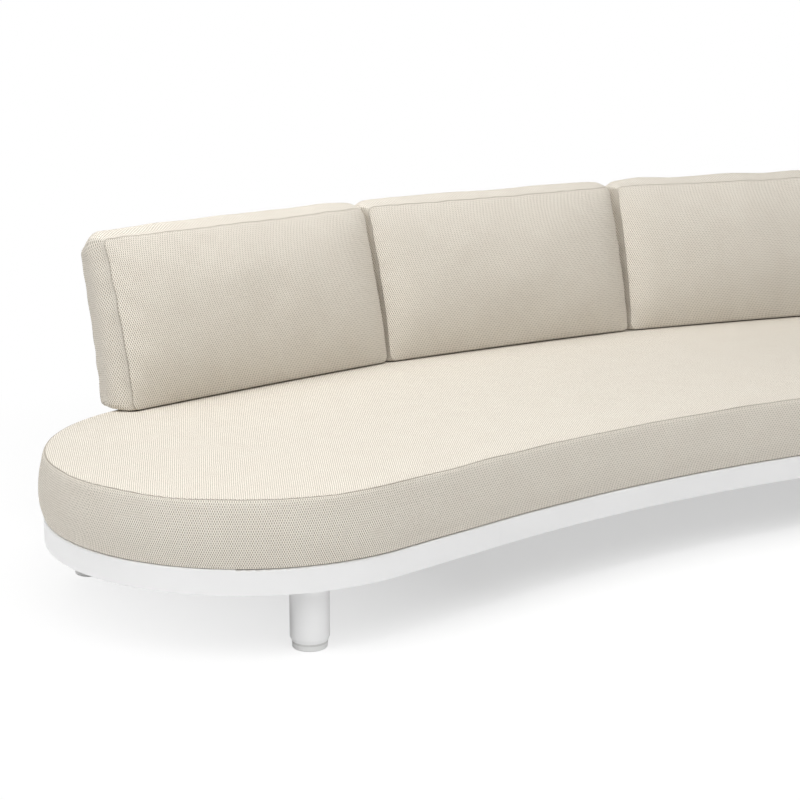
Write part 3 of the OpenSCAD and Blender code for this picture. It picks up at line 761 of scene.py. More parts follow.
@dataclass(frozen=True)
class Teeth(Row):
    """A zip's moulded teeth, square to the line and to the cover."""

    pitch: float = 3.2 * MM
    length: float = 1.9 * MM
    width: float = 6.0 * MM
    height: float = 1.6 * MM

    def piece(self, tree: NodeTree, given: Any) -> tuple[Node, Node]:
        """Adds the nodes of one tooth and of its turn, square to the line and to the cover.

        Args:
            tree: The row's tree.
            given: The tree's inputs, by name.

        Returns:
            The node that gives the tooth, and the one that gives its turn.
        """
        size = add(tree, "ShaderNodeCombineXYZ", {"X": given["Length"], "Y": given["Width"],
                                                  "Z": given["Height"]})
        tooth = add(tree, "GeometryNodeMeshCube", {"Size": size})
        out = add(tree, "GeometryNodeInputNamedAttribute", {"Name": "out"}, data_type="FLOAT_VECTOR")
        upright = add(tree, "FunctionNodeAlignRotationToVector", {"Vector": out}, axis="Z")
        tangent = add(tree, "GeometryNodeInputTangent")
        return tooth, add(tree, "FunctionNodeAlignRotationToVector", {"Rotation": upright, "Vector": tangent},
                          axis="X", pivot_axis="Z")


@dataclass(frozen=True)
class Zip:
    """A moulded zip sewn flat on a cover: a woven tape, its row of teeth and one slider with a pull."""

    teeth: Teeth = Teeth()
    tape_width: float = 26 * MM
    tape_height: float = 0.7 * MM
    sunk: float = 0.3 * MM
    slider_gap: float = 0.2 * MM
    slider_height: float = 3.0 * MM
    pull_height: float = 1.2 * MM
    bevel: float = 0.4 * MM

    # Half outlines in millimetres, along the zip and across it: the waisted slider and its pull
    slider_half = ((-4.5, 3.2), (-1.0, 2.6), (4.0, 4.4), (5.0, 3.4))
    pull_half = ((-3.0, 1.6), (-22.0, 2.2), *((-23.5 - 2.2 * math.sin(a), 2.2 * math.cos(a))
                                              for a in np.linspace(0, math.pi / 2, 4)))

    def lay(self, name: str, line: Array, out: Array, palette: Palette, body: str) -> None:
        """Sews a zip on a cover.

        Args:
            name: The start of the pieces' names.
            line: Points along the zip, on the cover.
            out: The cover's outward direction at each point.
            palette: The sofa's materials.
            body: The CAD body that the zip rides on.
        """
        ahead = unit(np.gradient(line, axis=0))
        across = np.cross(out, ahead)
        half, high = self.tape_width / 2, self.tape_height
        corners = [(-half, -self.sunk), (half, -self.sunk), (half, high), (-half, high)]
        section = np.stack([line + across * a + out * h for a, h in corners], axis=1)
        tape = self.solid(name + "_tape", [section], palette.tape)
        middle = line + out * (high + self.teeth.height / 2)
        teeth = self.teeth.lay(name + "_teeth", [middle], palette.zip_teeth, out)
        base = high + self.slider_gap
        top = base + self.slider_height
        blocks = [((*self.slider_half, *((a, -b) for a, b in self.slider_half[::-1])), base, top),
                  ((*self.pull_half, *((a, -b) for a, b in self.pull_half[-2::-1])), top + self.slider_gap,
                   top + self.slider_gap + self.pull_height)]
        spot, way, side, up = line[-2], ahead[-2] * MM, across[-2] * MM, out[-2]  # one point before the end
        rings = [np.array([[spot + way * a + side * b + up * h for a, b in outline] for h in (low, level)])
                 for outline, low, level in blocks]
        slider = self.solid(name + "_slider", rings, palette.zip_teeth, smooth=True)
        bevel = slider.modifiers.new("bevel", "BEVEL")
        bevel.width, bevel.segments = self.bevel, 2
        for piece, slot in ((tape, "cover_weave"), (teeth, "plug_plastic"), (slider, "plug_plastic")):
            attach(piece, body)
        LOG.info("%s: %d faces of teeth", name, len(teeth.data.polygons))

    @staticmethod
    def solid(name: str, blocks: Sequence[Array], finish: Material, smooth: bool = False) -> Object:
        """Joins like sections in closed solids with flat ends.

        Args:
            name: The piece's name.
            blocks: For each solid its sections, each a ring of points.
            finish: The piece's material.
            smooth: Whether its faces are smooth-shaded.

        Returns:
            The piece, with its faces outwards.
        """
        faces: list[tuple[int, ...]] = []
        base = 0
        for rings in blocks:
            count, size = rings.shape[:2]
            faces += [(k + j, k + (j + 1) % size, k + size + (j + 1) % size, k + size + j)
                      for k in range(base, base + (count - 1) * size, size) for j in range(size)]
            last = base + (count - 1) * size
            faces += [tuple(range(base, base + size))[::-1], tuple(range(last, last + size))]
            base += count * size
        points = np.concatenate([rings.reshape(-1, 3) for rings in blocks])
        piece = new_mesh(name, points, faces, finish, smooth)
        facing_out(piece)
        return piece


class Cover:
    """Vertices, faces and weave map of a cover, gathered panel by panel."""

    def __init__(self) -> None:
        """Starts an empty cover."""
        self.points = np.zeros((0, 3))
        self.faces: list[tuple[int, ...]] = []
        self.map: list[Array] = []

    def put(self, points: Array) -> Array:
        """Adds vertices.

        Args:
            points: Their places, in an array of any shape.

        Returns:
            Their numbers, in the array's own shape.
        """
        first = len(self.points)
        self.points = np.concatenate([self.points, points.reshape(-1, 3)])
        return np.arange(first, len(self.points)).reshape(points.shape[:-1])

    def panel(self, numbers: Array, weave: Array, flip: bool) -> None:
        """Adds the quads of a grid of vertices.

        Args:
            numbers: Vertex numbers in rows and columns.
            weave: Place of each on the cloth, in metres.
            flip: Turns the faces over.
        """
        corners = [(0, 0), (1, 0), (1, 1), (0, 1)][::-1 if flip else 1]
        rows, columns = numbers.shape
        for i in range(rows - 1):
            for j in range(columns - 1):
                spots = [(i + a, j + b) for a, b in corners]
                self.faces.append(tuple(int(numbers[spot]) for spot in spots))
                self.map += [weave[spot] for spot in spots]

    def make(self, name: str, palette: Palette, seams: Sequence[Array], painted_shade: float, lift: float,
             body: str) -> Object:
        """Makes the cushion and its stitches.

        Args:
            name: The cushion's name.
            palette: The sofa's materials.
            seams: Vertex numbers of each sunk seam.
            painted_shade: Share of the seam colour painted at the seam's bottom: painted shade where the
                folded cloth lies in shade, partly the thread's darker tone.
            lift: How far the stitches stand above the seam.
            body: The CAD body that it rides on.

        Returns:
            The cushion's cover, with its weave map and the map of painted shade along its seams.
        """
        cushion = new_mesh(name, self.points, self.faces, palette.weave)
        layer = cushion.data.uv_layers.new(name=WEAVE_MAP)
        layer.data.foreach_set("uv", np.concatenate(self.map))
        # Painted shade: the seam's vertices get a share of the seam colour, falling to none at the loops
        # beside them
        depth = np.zeros(len(self.points))
        depth[np.concatenate(seams)] = painted_shade
        cushion.data.attributes.new(SEAM_SHADE_MAP, "FLOAT", "POINT").data.foreach_set("value", depth)
        subdivision = cushion.modifiers.new("subdivision", "SUBSURF")
        subdivision.levels = subdivision.render_levels = 1
        lines = [self.points[seam] + np.array([0, 0, lift]) for seam in seams]
        thread = Stitches().lay(name + "_stitches", lines, palette.thread)
        for piece in (cushion, thread):
            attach(piece, body)
        LOG.info("%s: %d faces, %d on its stitches", name, len(self.faces), len(thread.data.polygons))
        return cushion


def edge_lines(grid: Array, *shares: float) -> Array:
    """Adds a line just inside the grid's first and last line, both ways, so that seams can be sunk there.

    Args:
        grid: Points in rows and columns.
        *shares: How far in the lines lie, as a share of the first step: between the rows, then the columns.

    Returns:
        The grid with two more rows and two more columns.
    """
    for share in shares:
        first = grid[:1] + (grid[1:2] - grid[:1]) * share
        last = grid[-1:] + (grid[-2:-1] - grid[-1:]) * share
        grid = np.concatenate([grid[:1], first, grid[1:-1], last, grid[-1:]]).swapaxes(0, 1)
    return grid


@dataclass(frozen=True)
class Plan:
    """The seat's outline: a strip between two arcs round one centre, with round ends."""

    front_r: float = 3.800
    end_r: float = 0.508
    setback: float = 0.012
    end_angle: float = math.radians(15.5)
    side_steps: int = 146
    end_steps: int = 36

    @property
    def mid_r(self) -> float:
        """Radius of the arc through the centres of the round ends."""
        return self.front_r + self.end_r + self.setback

    @property
    def rear_r(self) -> float:
        """Radius of the rear arc."""
        return self.mid_r + self.end_r

    @property
    def straight_turn(self) -> float:
        """Turn between the straight run's end and the round end's centre."""
        return math.acos((self.front_r + self.end_r) / self.mid_r)

    def at(self, radius: float, turn: float) -> Array:
        """Point at a radius and a turn from straight behind the centre."""
        return np.array([radius * math.sin(turn), radius * math.cos(turn)])

    def half_edge(self, off: float, rear: bool) -> Array:
        """Draws half of one edge.

        Args:
            off: How far the edge is grown outwards.
            rear: Whether it is the rear edge.

        Returns:
            Points from the edge's middle to the right tip, at even steps of the edge that isn't grown.
        """
        arc_end = self.end_angle if rear else self.end_angle - self.straight_turn
        arc_r = self.rear_r if rear else self.front_r
        straight = 0.0 if rear else math.sqrt(self.mid_r ** 2 - (self.front_r + self.end_r) ** 2)
        sweep = math.pi / 2 - (0 if rear else self.straight_turn)
        bend, round_end = arc_r * arc_end, arc_r * arc_end + straight
        grown_r = arc_r + (off if rear else -off)
        steps = (self.side_steps + self.end_steps) // 2
        points = []
        for run in np.linspace(0, round_end + self.end_r * sweep, steps + 1):
            if run <= bend:
                points.append(self.at(grown_r, run / arc_r))
            elif run <= round_end:
                ahead = np.array([math.cos(arc_end), -math.sin(arc_end)])
                points.append(self.at(grown_r, arc_end) + ahead * (run - bend))
            else:
                turned = (run - round_end) / self.end_r
                way = self.end_angle + turned if rear else math.pi + arc_end - turned
                points.append(self.at(self.mid_r, self.end_angle) + self.at(self.end_r + off, way))
        return np.array(points)

    def loop(self, off: float, z: float) -> Array:
        """Draws a closed loop round the seat.

        Args:
            off: How far it is grown outwards.
            z: Its height.

        Returns:
            Points from the left tip along the front and back along the rear.
        """
        front, rear = self.half_edge(off, rear=False), self.half_edge(off, rear=True)
        mirror = np.array([-1.0, 1.0])
        flat = np.concatenate([front[::-1] * mirror, front[1:], rear[::-1][1:], rear[1:-1] * mirror])
        return np.column_stack([flat + np.array([0.0, CENTRE_Y]), np.full(len(flat), z)])

    def border(self, loop: Array) -> tuple[Array, Array, Array, Array]:
        """Splits a loop in the four sides of the grid that fills it.

        Args:
            loop: Points or vertex numbers of a closed loop.

        Returns:
            Its front, rear, left and right side, with the corners in both sides that meet there.
        """
        ends, sides = self.end_steps, self.side_steps
        order = np.roll(loop, -(ends // 2), axis=0)
        order = np.concatenate([order, order[:1]])
        front, right = order[:sides + 1], order[sides:sides + ends + 1]
        rear, left = order[sides + ends:2 * sides + ends + 1][::-1], order[2 * sides + ends:][::-1]
        return front, rear, left, right

    def inside(self, point: Array) -> float:
        """Works out how far inside the outline a point lies.

        Args:
            point: A place in the sofa's frame.

        Returns:
            The distance to the nearest edge.
        """
        x, y = abs(float(point[0])), float(point[1]) - CENTRE_Y
        radius, turn = math.hypot(x, y), math.atan2(x, y)
        arc_end = self.end_angle - self.straight_turn
        if turn > self.end_angle:
            centre = self.at(self.mid_r, self.end_angle)
            return self.end_r - math.hypot(x - centre[0], y - centre[1])
        front = radius - self.front_r
        if turn > arc_end:
            front = float((np.array([x, y]) - self.at(self.front_r, arc_end)) @ self.at(1.0, arc_end))
        return min(self.rear_r - radius, front)


@dataclass(frozen=True)
class SeatCushion:
    """The one-piece boxed seat cushion over the whole platform."""

    palette: Palette
    plan: Plan = Plan()
    name: str = "seat_cushion"
    base_z: float = 0.2103
    height: float = 0.156
    inset: float = 6.5 * MM
    crown: float = 12 * MM
    crown_run: float = 220 * MM
    groove: float = 2.0 * MM
    seam_line: float = 3 * MM
    # Share of the seam colour painted along the seam: painted shade of the fold
    painted_seam_shade: float = 0.7
    seam_hold: float = 0.5
    stitch_lift: float = 0.5 * MM
    backs_reach: float = 130 * MM
    backs_fade: float = 100 * MM
    close_by: float = 1 * MM
    lift_cap: float = 1 * MM
    top_wave: tuple[float, float] = (0.9 * MM, 90 * MM)
    top_seed: int = 5
    side_wave: tuple[float, float] = (0.8 * MM, 100 * MM)
    side_seed: int = 8
    stuffing: Stuffing = Stuffing(cap=2 * MM)
    zip_half: float = 260 * MM
    zip_loop: int = 6
    zip_gap: float = 0.4 * MM

    # Places up the side, as shares of the height, and how far each stands out from the rim's outline
    profile = ((0.0, -2 * MM), (0.03, 0.5 * MM), (0.08, 4 * MM), (0.16, 8 * MM), (0.26, 10.3 * MM),
               (0.37, 10.5 * MM), (0.49, 9.2 * MM), (0.61, 7.2 * MM), (0.72, 5.0 * MM), (0.82, 2.7 * MM),
               (0.91, -0.2 * MM), (0.965, -3.4 * MM), (1.0, -6.5 * MM))
    seam_row = len(profile) - 1
    # Distance of the top's loops from the seam
    top_loops = (9 * MM, 24 * MM, 44 * MM, 70 * MM)

    def on_deck(self, points: Array) -> Array:
        """Which points lie on the deck."""
        return points[:, 2] < self.base_z + self.close_by

    def top_z(self, inside: float) -> float:
        """Height of the crowned top at a distance inside the seam."""
        share = min(1.0, max(0.0, inside) / self.crown_run)
        return self.base_z + self.height + self.crown * math.sin(math.pi / 2 * share)

    def loops(self) -> Array:
        """Draws the loops up the side and over the top's edge.

        Returns:
            The loops, from the bottom up and inwards.
        """
        side = [self.plan.loop(off, self.base_z + up * self.height) for up, off in self.profile]
        over = [self.plan.loop(-self.inset - inside, self.top_z(inside)) for inside in self.top_loops]
        return np.array(side + over)

    def patch(self, loop: Array, crowned: bool) -> Array:
        """Fills a loop with a grid between its four sides.

        Args:
            loop: The closed loop.
            crowned: Whether the middle rises as the seat's top does.

        Returns:
            Points in rows from front to rear and columns from left to right.
        """
        front, rear, left, right = self.plan.border(loop)
        u = np.linspace(0, 1, len(front))[None, :, None]
        v = np.linspace(0, 1, len(left))[:, None, None]
        grid = (1 - v) * front[None] + v * rear[None] + (1 - u) * left[:, None] + u * right[:, None]
        grid -= ((1 - u) * (1 - v) * front[0] + u * (1 - v) * front[-1] + (1 - u) * v * rear[0]
                 + u * v * rear[-1])
        if crowned:
            for i in range(1, len(left) - 1):
                for j in range(1, len(front) - 1):
                    grid[i, j, 2] = self.top_z(self.plan.inside(grid[i, j]) - self.inset)
        return grid

    def assemble(self, loops: Array, top: Array, under: Array, seam_row: int) -> Cover:
        """Joins the loops and both patches in one closed cover with its weave map.

        Args:
            loops: Loops from the bottom up and inwards.
            top: The patch inside the last loop.
            under: The patch inside the first loop.
            seam_row: Which loop is the seam.

        Returns:
            The cover. Its first vertices are the loops' points.
        """
        cover = Cover()
        numbers = cover.put(loops)
        run = run_along(self.plan.loop(0, 0))
        run = np.append(run, 2 * run[-1] - run[-2])
        up = run_along(loops[:, loops.shape[1] // 4])
        wrap, closed = (np.concatenate([grid, grid[:, :1]], axis=1) for grid in (numbers, loops))
        cloth = np.dstack(np.broadcast_arrays(run[None, :], up[:seam_row + 1, None]))
        cover.panel(wrap[:seam_row + 1], cloth, flip=True)
        cover.panel(wrap[seam_row:], closed[seam_row:, :, :2], flip=True)
        for patch, ring, flip in ((top, numbers[-1], True), (under, numbers[0], False)):
            grid = np.zeros(patch.shape[:2], int)
            grid[0], grid[-1], grid[:, 0], grid[:, -1] = self.plan.border(ring)
            grid[1:-1, 1:-1] = cover.put(patch[1:-1, 1:-1])
            cover.panel(grid, patch[..., :2], flip)
        return cover

    def make(self) -> None:
        """Builds, fills and sews the cushion."""
        loops = self.loops()
        top, under = self.patch(loops[-1], crowned=True), self.patch(loops[0], crowned=False)
        cover = self.assemble(loops, top, under, self.seam_row)
        start = cover.points
        around, rings = loops.shape[1], loops[..., 0].size
        pinned = np.where(self.on_deck(start), 1.0, 0.0)
        pinned[self.seam_row * around:(self.seam_row + 1) * around] = self.seam_hold
        filled = self.settle(start, self.stuffing.fill(self.name, start, cover.faces, pinned))
        loops = self.sink_seam(filled[:rings].reshape(loops.shape))
        for patch, found, loop in zip((top, under), np.split(filled[rings:], 2), (loops[-1], loops[0])):
            patch[1:-1, 1:-1] = found.reshape(patch[1:-1, 1:-1].shape)
            patch[0], patch[-1], patch[:, 0], patch[:, -1] = self.plan.border(loop)
        row = self.seam_row + 1
        cover = self.assemble(loops, top, under, row)
        seam = np.arange(row * around, (row + 1) * around)
        cushion = cover.make(self.name, self.palette, [seam], self.painted_seam_shade, self.stitch_lift, "frame")
        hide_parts("seat_cover", "seat_foam")
        self.close(loops[self.zip_loop])

    def close(self, loop: Array) -> None:
        """Lays the zip along the middle of the cushion's rear side.

        Args:
            loop: The loop round the side that it lies on.
        """
        rear = 3 * (len(loop) // 4)
        reach = int(self.zip_half / np.linalg.norm(loop[rear + 1] - loop[rear]))
        line = loop[rear - reach:rear + reach + 1]
        out = unit((line - np.array([0.0, CENTRE_Y, 0.0])) * np.array([1, 1, 0]))
        Zip().lay("seat_zip", line + out * self.zip_gap, out, self.palette, "frame")

    def settle(self, start: Array, filled: Array) -> Array:
        """Keeps the underside on the deck and the rear of the top under the back cushions, and adds the
        faint unevenness of real wadding.

        Args:
            start: Places before the filling.
            filled: Places after it.

        Returns:
            The places to keep.
        """
        found = filled.copy()
        low = self.on_deck(start)
        top = start[:, 2] > self.base_z + self.height - 2 * self.close_by
        side = ~top & ~low
        found[low] = start[low]
        away = start[:, :2] - np.array([0.0, CENTRE_Y])
        clear = np.linalg.norm(away, axis=1)
        clear = np.clip((self.plan.rear_r - self.backs_reach - clear) / self.backs_fade, 0, 1)
        height, width = self.top_wave
        lift = np.clip(filled[:, 2] - start[:, 2], -self.lift_cap, self.lift_cap)
        lift += height * smooth_noise(start[:, :2], width, self.top_seed)
        found[top, 2] = start[top, 2] + (clear * lift)[top]
        height, width = self.side_wave
        found[side, :2] += ((height * smooth_noise(start, width, self.side_seed))[:, None] * unit(away))[side]
        return found

    def sink_seam(self, loops: Array) -> Array:
        """Sinks the seam.

        Args:
            loops: Loops from the bottom up and inwards.

        Returns:
            The loops with one more on each side of the seam, which lies sunk between them.
        """
        row = self.seam_row
        seam = loops[row]
        down, inward = unit(loops[row - 1] - seam), unit(loops[row + 1] - seam)
        fold = [seam + down * self.seam_line, seam + unit(inward + down) * self.groove,
                seam + inward * self.seam_line]
        return np.concatenate([loops[:row], fold, loops[row + 1:]])


class Place(Enum):
    """The three back cushions, with how many steps each is turned from the middle."""

    LEFT = -1
    MIDDLE = 0
    RIGHT = 1


@dataclass(frozen=True)
class Corners:
    """How far a back cushion's corners depart from a plain box, in millimetres.

    Attributes:
        fan: Past the plain width at the front: left top and foot, right top and foot.
        spread: Further past it at the rear, in the same order.
        arch: Cut off the rear panel's top, left and right.
        foot: Cut off its foot, left and right.
    """

    fan: tuple[float, float, float, float]
    spread: tuple[float, float, float, float]
    arch: tuple[float, float]
    foot: tuple[float, float]


CORNERS = {Place.LEFT: Corners((15, 12, 7, 6), (4, 25, 10, 10), (27, 15), (20, 0)),
           Place.MIDDLE: Corners((8, -2, 2, 10), (10, 10, 10, 10), (15, 15), (0, 0)),
           Place.RIGHT: Corners((3, -5, 15, 12), (10, 10, 4, 25), (15, 27), (0, 20))}


@dataclass(frozen=True)
class BackCushion:
    """A boxed back cushion that leans on its support."""

    palette: Palette
    where: Place
    width: float = 854.376 * MM
    height: float = 438 * MM
    depth: float = 105 * MM
    lean: float = math.radians(13.5)
    step: float = math.radians(10.4951)
    radius: float = 4.722
    seam_z: float = 381.196 * MM
    base_z: float = 374.196 * MM
    corner_r: float = 18 * MM
    shoulder: float = 20 * MM
    shoulder_run: tuple[float, float] = (28 * MM, 42 * MM)
    belly: float = 26 * MM
    belly_height: float = 145 * MM
    belly_edge: float = 0.6
    rear_rise: float = 14 * MM
    arch_power: float = 6.5
    foot_drop: float = 5 * MM
    drop_power: int = 12
    foot_powers: tuple[int, int, int] = (16, 3, 10)
    rear_bulge: float = 9 * MM
    panel_half: float = 350 * MM
    panel_fade: float = 60 * MM
    swell: tuple[float, float, float] = (17 * MM, 28 * MM, 8 * MM)
    draw: float = 2 * MM
    touch_gap: float = 0.5 * MM
    lean_gap: float = 0.2 * MM
    rest_gap: float = 0.3 * MM
    groove: float = 1.3 * MM
    seam_line: float = 3 * MM
    # Share of the seam colour painted along the seams: painted shade of the folds
    painted_seam_shade: float = 0.25
    weave_shift: tuple[float, float] = (0.37, 0.21)
    pucker: float = 1.2 * MM
    pucker_size: float = 32 * MM
    pucker_stretch: float = 0.4
    pucker_run: float = 30 * MM
    pucker_seed: int = 11
    wave: float = 2.2 * MM
    wave_size: float = 130 * MM
    wave_run: float = 20 * MM
    wave_seed: int = 51
    wave_at_seam: float = 0.3
    panel_run: float = 40 * MM
    panel_wave: float = 0.7
    rear_panel: float = 0.3
    rim: float = 50 * MM
    zip_half: float = 250 * MM
    zip_up: float = 62 * MM
    zip_steps: int = 25
    columns: int = 60
    rows: int = 32
    band: int = 8
    stuffing: Stuffing = Stuffing(cap=6 * MM)

    def flat_grid(self) -> Array:
        """Draws a panel as it lies flat.

        Returns:
            Places across and up from its middle, with round corners.
        """
        half = np.array([self.width / 2, self.height / 2])
        spans = [np.linspace(-h, h, steps + 1) for h, steps in zip(half, (self.columns, self.rows))]
        flat = np.dstack(np.meshgrid(*spans, indexing="ij"))
        past = (np.abs(flat) - (half - self.corner_r)) / self.corner_r
        bent = past * np.sqrt(np.clip(1 - past[..., ::-1] ** 2 / 2, 0, 1))
        corner = (past > 0).all(axis=2, keepdims=True)
        return np.where(corner, np.sign(flat) * (half - self.corner_r + bent * self.corner_r), flat)

    def placed(self, flat: Array, y: Array | float) -> Array:
        """Cushion places of flat ones at a depth, fanned to the corners and drawn in between them.

        Args:
            flat: Places across and up from the panel's middle.
            y: Depth behind the front seam.

        Returns:
            Places across, back and up from the foot of the front seam.
        """
        u = flat[..., 0] / (self.width / 2)
        v = flat[..., 1] / (self.height / 2)
        high, low = (1 + v) / 2, (1 - v) / 2
        deep = np.clip(np.broadcast_to(y, u.shape) / self.depth, 0, 1)
        cut = CORNERS[self.where]
        ends = [MM * (near + far * deep) for near, far in zip(cut.fan, cut.spread)]
        left, right = (top * high + foot * low for top, foot in (ends[:2], ends[2:]))
        x = flat[..., 0] + (right + left) / 2 * u + (right - left) / 2 - self.draw * u * (1 - v * v)
        arch, foot = (MM * np.where(u < 0, *sides) for sides in (cut.arch, cut.foot))
        z = self.height / 2 + flat[..., 1] - self.draw * v * (1 - u * u)
        z += (self.rear_rise - arch * np.abs(u) ** self.arch_power) * deep * high
        across, back, down = self.foot_powers
        z += foot * np.abs(u) ** across * deep ** back * low ** down
        z -= self.foot_drop * (1 - deep) * low ** self.drop_power
        return np.stack([x, np.broadcast_to(y, x.shape), z], axis=-1)

    def rise(self, flat: Array) -> Array:
        """Works out how far the front stands out: it comes up fast at the seams and has its belly low down,
        so that it rolls under at the foot.

        Args:
            flat: Places across and up from the panel's middle.

        Returns:
            How far each stands out.
        """
        half = np.array([self.width / 2, self.height / 2])
        edges = 1 - np.exp(-(half - np.abs(flat)).clip(0) / np.array(self.shoulder_run))
        up = (flat[..., 1] + half[1]) / self.belly_height
        below, above = (1 - up).clip(0), (up - 1).clip(0) / (self.height / self.belly_height - 1)
        belly = (1 - self.belly_edge * (flat[..., 0] / half[0]) ** 4) * (1 - below ** 2) * (1 - above ** 2)
        return self.shoulder * edges[..., 0] * edges[..., 1] + self.belly * belly

    @staticmethod
    def sides(grid: Array) -> list[Array]:
        """The four edges of a grid, in one way round: bottom, right, top, left."""
        return [grid[:, 0], grid[-1, :], grid[::-1, -1], grid[0, ::-1]]

    @staticmethod
    def ring(sides: Sequence[Array]) -> Array:
        """Joins four sides in one ring, which has each corner once."""
        return np.concatenate([side[:-1] for side in sides])

    def assemble(self, front: Array, rear: Array, band: Sequence[Array],
                 flat: Array) -> tuple[Cover, list[Array]]:
        """Joins both panels and the band round them in one closed cover.

        Args:
            front: The front panel's points.
            rear: The rear panel's points.
            band: For each of the four sides, points along it and from front to rear.
            flat: Places of the panels' points on their cloth.

        Returns:
            The cover with its weave map, and the vertex numbers of its two seams.
        """
        cover = Cover()
        panels = [cover.put(front), cover.put(rear)]
        cover.panel(panels[0], flat, flip=False)
        cover.panel(panels[1], flat * np.array([-1.0, 1.0]), flip=True)
        seams = [self.ring(self.sides(panel)) for panel in panels]
        ring = self.ring(band)
        numbers = np.column_stack([seams[0], cover.put(ring[:, 1:-1]), seams[1]])
        numbers, ring = (np.concatenate([a, a[:1]]) for a in (numbers, ring))
        deep = np.linspace(0, self.depth, ring.shape[1])
        cloth = np.dstack(np.broadcast_arrays(deep[None, :], run_along(ring[:, 0])[:, None]))
        cover.panel(numbers, cloth, flip=False)
        return cover, seams

    def to_world(self, points: Array) -> Array:
        """Moves cushion places to the sofa: the lean, then the cushion's turn round the arcs' centre.

        Args:
            points: Cushion places.

        Returns:
            Places in the sofa's frame.
        """
        turn = self.where.value * self.step
        matrix = (Matrix.Translation((0, CENTRE_Y, 0)) @ Matrix.Rotation(-turn, 4, "Z")
                  @ Matrix.Translation((0, self.radius, self.seam_z)) @ Matrix.Rotation(-self.lean, 4, "X"))
        m = np.array(matrix)
        return points @ m[:3, :3].T + m[:3, 3]

    def kept_clear(self, points: Array) -> Array:
        """Flattens a cushion where it rests on the seat, leans on its support and meets its neighbour.

        Args:
            points: Cushion places.

        Returns:
            The same places, moved where they would touch.
        """
        found = points.copy()
        past = np.clip((np.abs(found[..., 0]) - self.panel_half) / self.panel_fade, 0, 1)
        found[..., 1] = np.minimum(found[..., 1], self.depth - self.lean_gap + self.rear_bulge * past)
        # World height of a cushion place: seam_z + z cos(lean) - y sin(lean)
        lowest = (self.base_z - self.seam_z + found[..., 1] * math.sin(self.lean)) / math.cos(self.lean)
        found[..., 2] = np.maximum(found[..., 2], lowest + self.rest_gap)
        # Neighbours meet in the plane halfway between them, which passes through the arcs' centre
        back = self.radius + found[..., 1] * math.cos(self.lean) + found[..., 2] * math.sin(self.lean)
        plane = back * math.tan(self.step / 2) - self.touch_gap
        left = -math.inf if self.where is Place.LEFT else -plane
        right = math.inf if self.where is Place.RIGHT else plane
        found[..., 0] = np.clip(found[..., 0], left, right)
        return found

    def uneven(self, points: Array) -> Array:
        """Adds puckers beside the seams, slow waves along the bands and faint ones on the panels.

        Args:
            points: Cushion places.

        Returns:
            The moved places.
        """
        half_w, half_h = self.width / 2, self.height / 2
        x, y, z = points[..., 0], points[..., 1], points[..., 2] - half_h
        flat = points.reshape(-1, 3)
        run = np.column_stack([flat[:, 0] + flat[:, 2], self.pucker_stretch * flat[:, 1]])
        fine, slow = (height * smooth_noise(spots, size, seed + self.where.value).reshape(x.shape)
                      for spots, height, size, seed in (
                          (run, self.pucker, self.pucker_size, self.pucker_seed),
                          (flat, self.wave, self.wave_size, self.wave_seed)))
        near_seam = np.exp(-np.minimum(np.abs(y), np.abs(self.depth - y)) / self.pucker_run)
        inner = np.clip(y / self.wave_run, 0, 1)
        band = fine * near_seam + slow * (self.wave_at_seam + (1 - self.wave_at_seam) * inner)
        found = points.copy()
        found[..., 0] += np.clip((np.abs(x) - half_w) / self.rim + 1, 0, 1) * np.sign(x) * band
        found[..., 2] += np.clip((z - half_h) / self.rim + 1, 0, 1) * band
        edge = np.exp(-(np.minimum(half_w - np.abs(x), half_h - np.abs(z))).clip(0) / self.panel_run)
        # The product of edge and 1 - edge is a quarter at most
        panel = self.panel_wave * slow * (1 - edge) + 4 * fine * edge * (1 - edge)
        found[..., 1] += np.where(y < self.depth / 2, -1.0, self.rear_panel) * panel
        return found

    def bands(self, flat: Array) -> list[Array]:
        """Draws the swollen band between the panels.

        Args:
            flat: Places across and up from the panels' middle.

        Returns:
            For each of the four sides, points along it and from front to rear.
        """
        half = np.array([self.width / 2, self.height / 2]) - self.corner_r
        side, top, foot = self.swell
        found = []
        for edge in self.sides(flat):
            out = unit(edge - np.clip(edge, -half, half))
            tall = np.where(out[:, 1] > 0, top, foot)
            swell = out * np.hypot(out[:, 0] * side, out[:, 1] * tall)[:, None]
            found.append(np.stack([self.placed(edge + swell * math.sin(math.pi * s), s * self.depth)
                                   for s in np.linspace(0, 1, self.band + 1)], axis=1))
        return found

    def make(self) -> None:
        """Builds, fills and sews the cushion."""
        word = self.where.name.lower()
        body = name = "back_cushion_" + word
        flat = self.flat_grid()
        front, rear = self.placed(flat, -self.rise(flat)), self.placed(flat, self.depth)
        cover, seams = self.assemble(front, rear, self.bands(flat), flat)
        pinned = np.zeros(len(cover.points))
        pinned[np.concatenate(seams)] = 1.0
        filled = self.stuffing.fill(name, cover.points, cover.faces, pinned)
        front, rear, ring = np.split(filled, [flat[..., 0].size, 2 * flat[..., 0].size])
        front, rear = front.reshape(*flat.shape[:2], 3), rear.reshape(*flat.shape[:2], 3)
        band = self.band_sides(front, rear, ring.reshape(-1, self.band - 1, 3))
        front, rear, *band, flat = self.sink_seams(front, rear, band, flat)
        front, rear, *band = (self.to_world(self.kept_clear(self.uneven(p))) for p in (front, rear, *band))
        flat = flat + np.array(self.weave_shift) * self.where.value
        cover, seams = self.assemble(front, rear, band, flat)
        cushion = cover.make(name, self.palette, seams, self.painted_seam_shade, 0.0, body)
        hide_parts("back_cover_" + word, "back_foam_" + word)
        line = np.full((self.zip_steps, 3), (0.0, self.depth, self.zip_up))
        line[:, 0] = np.linspace(-self.zip_half, self.zip_half, self.zip_steps)
        behind = self.to_world(line + np.array([0.0, 1.0, 0.0]))
        line = self.to_world(line)
        Zip().lay("back_zip_" + word, line, behind - line, self.palette, body)

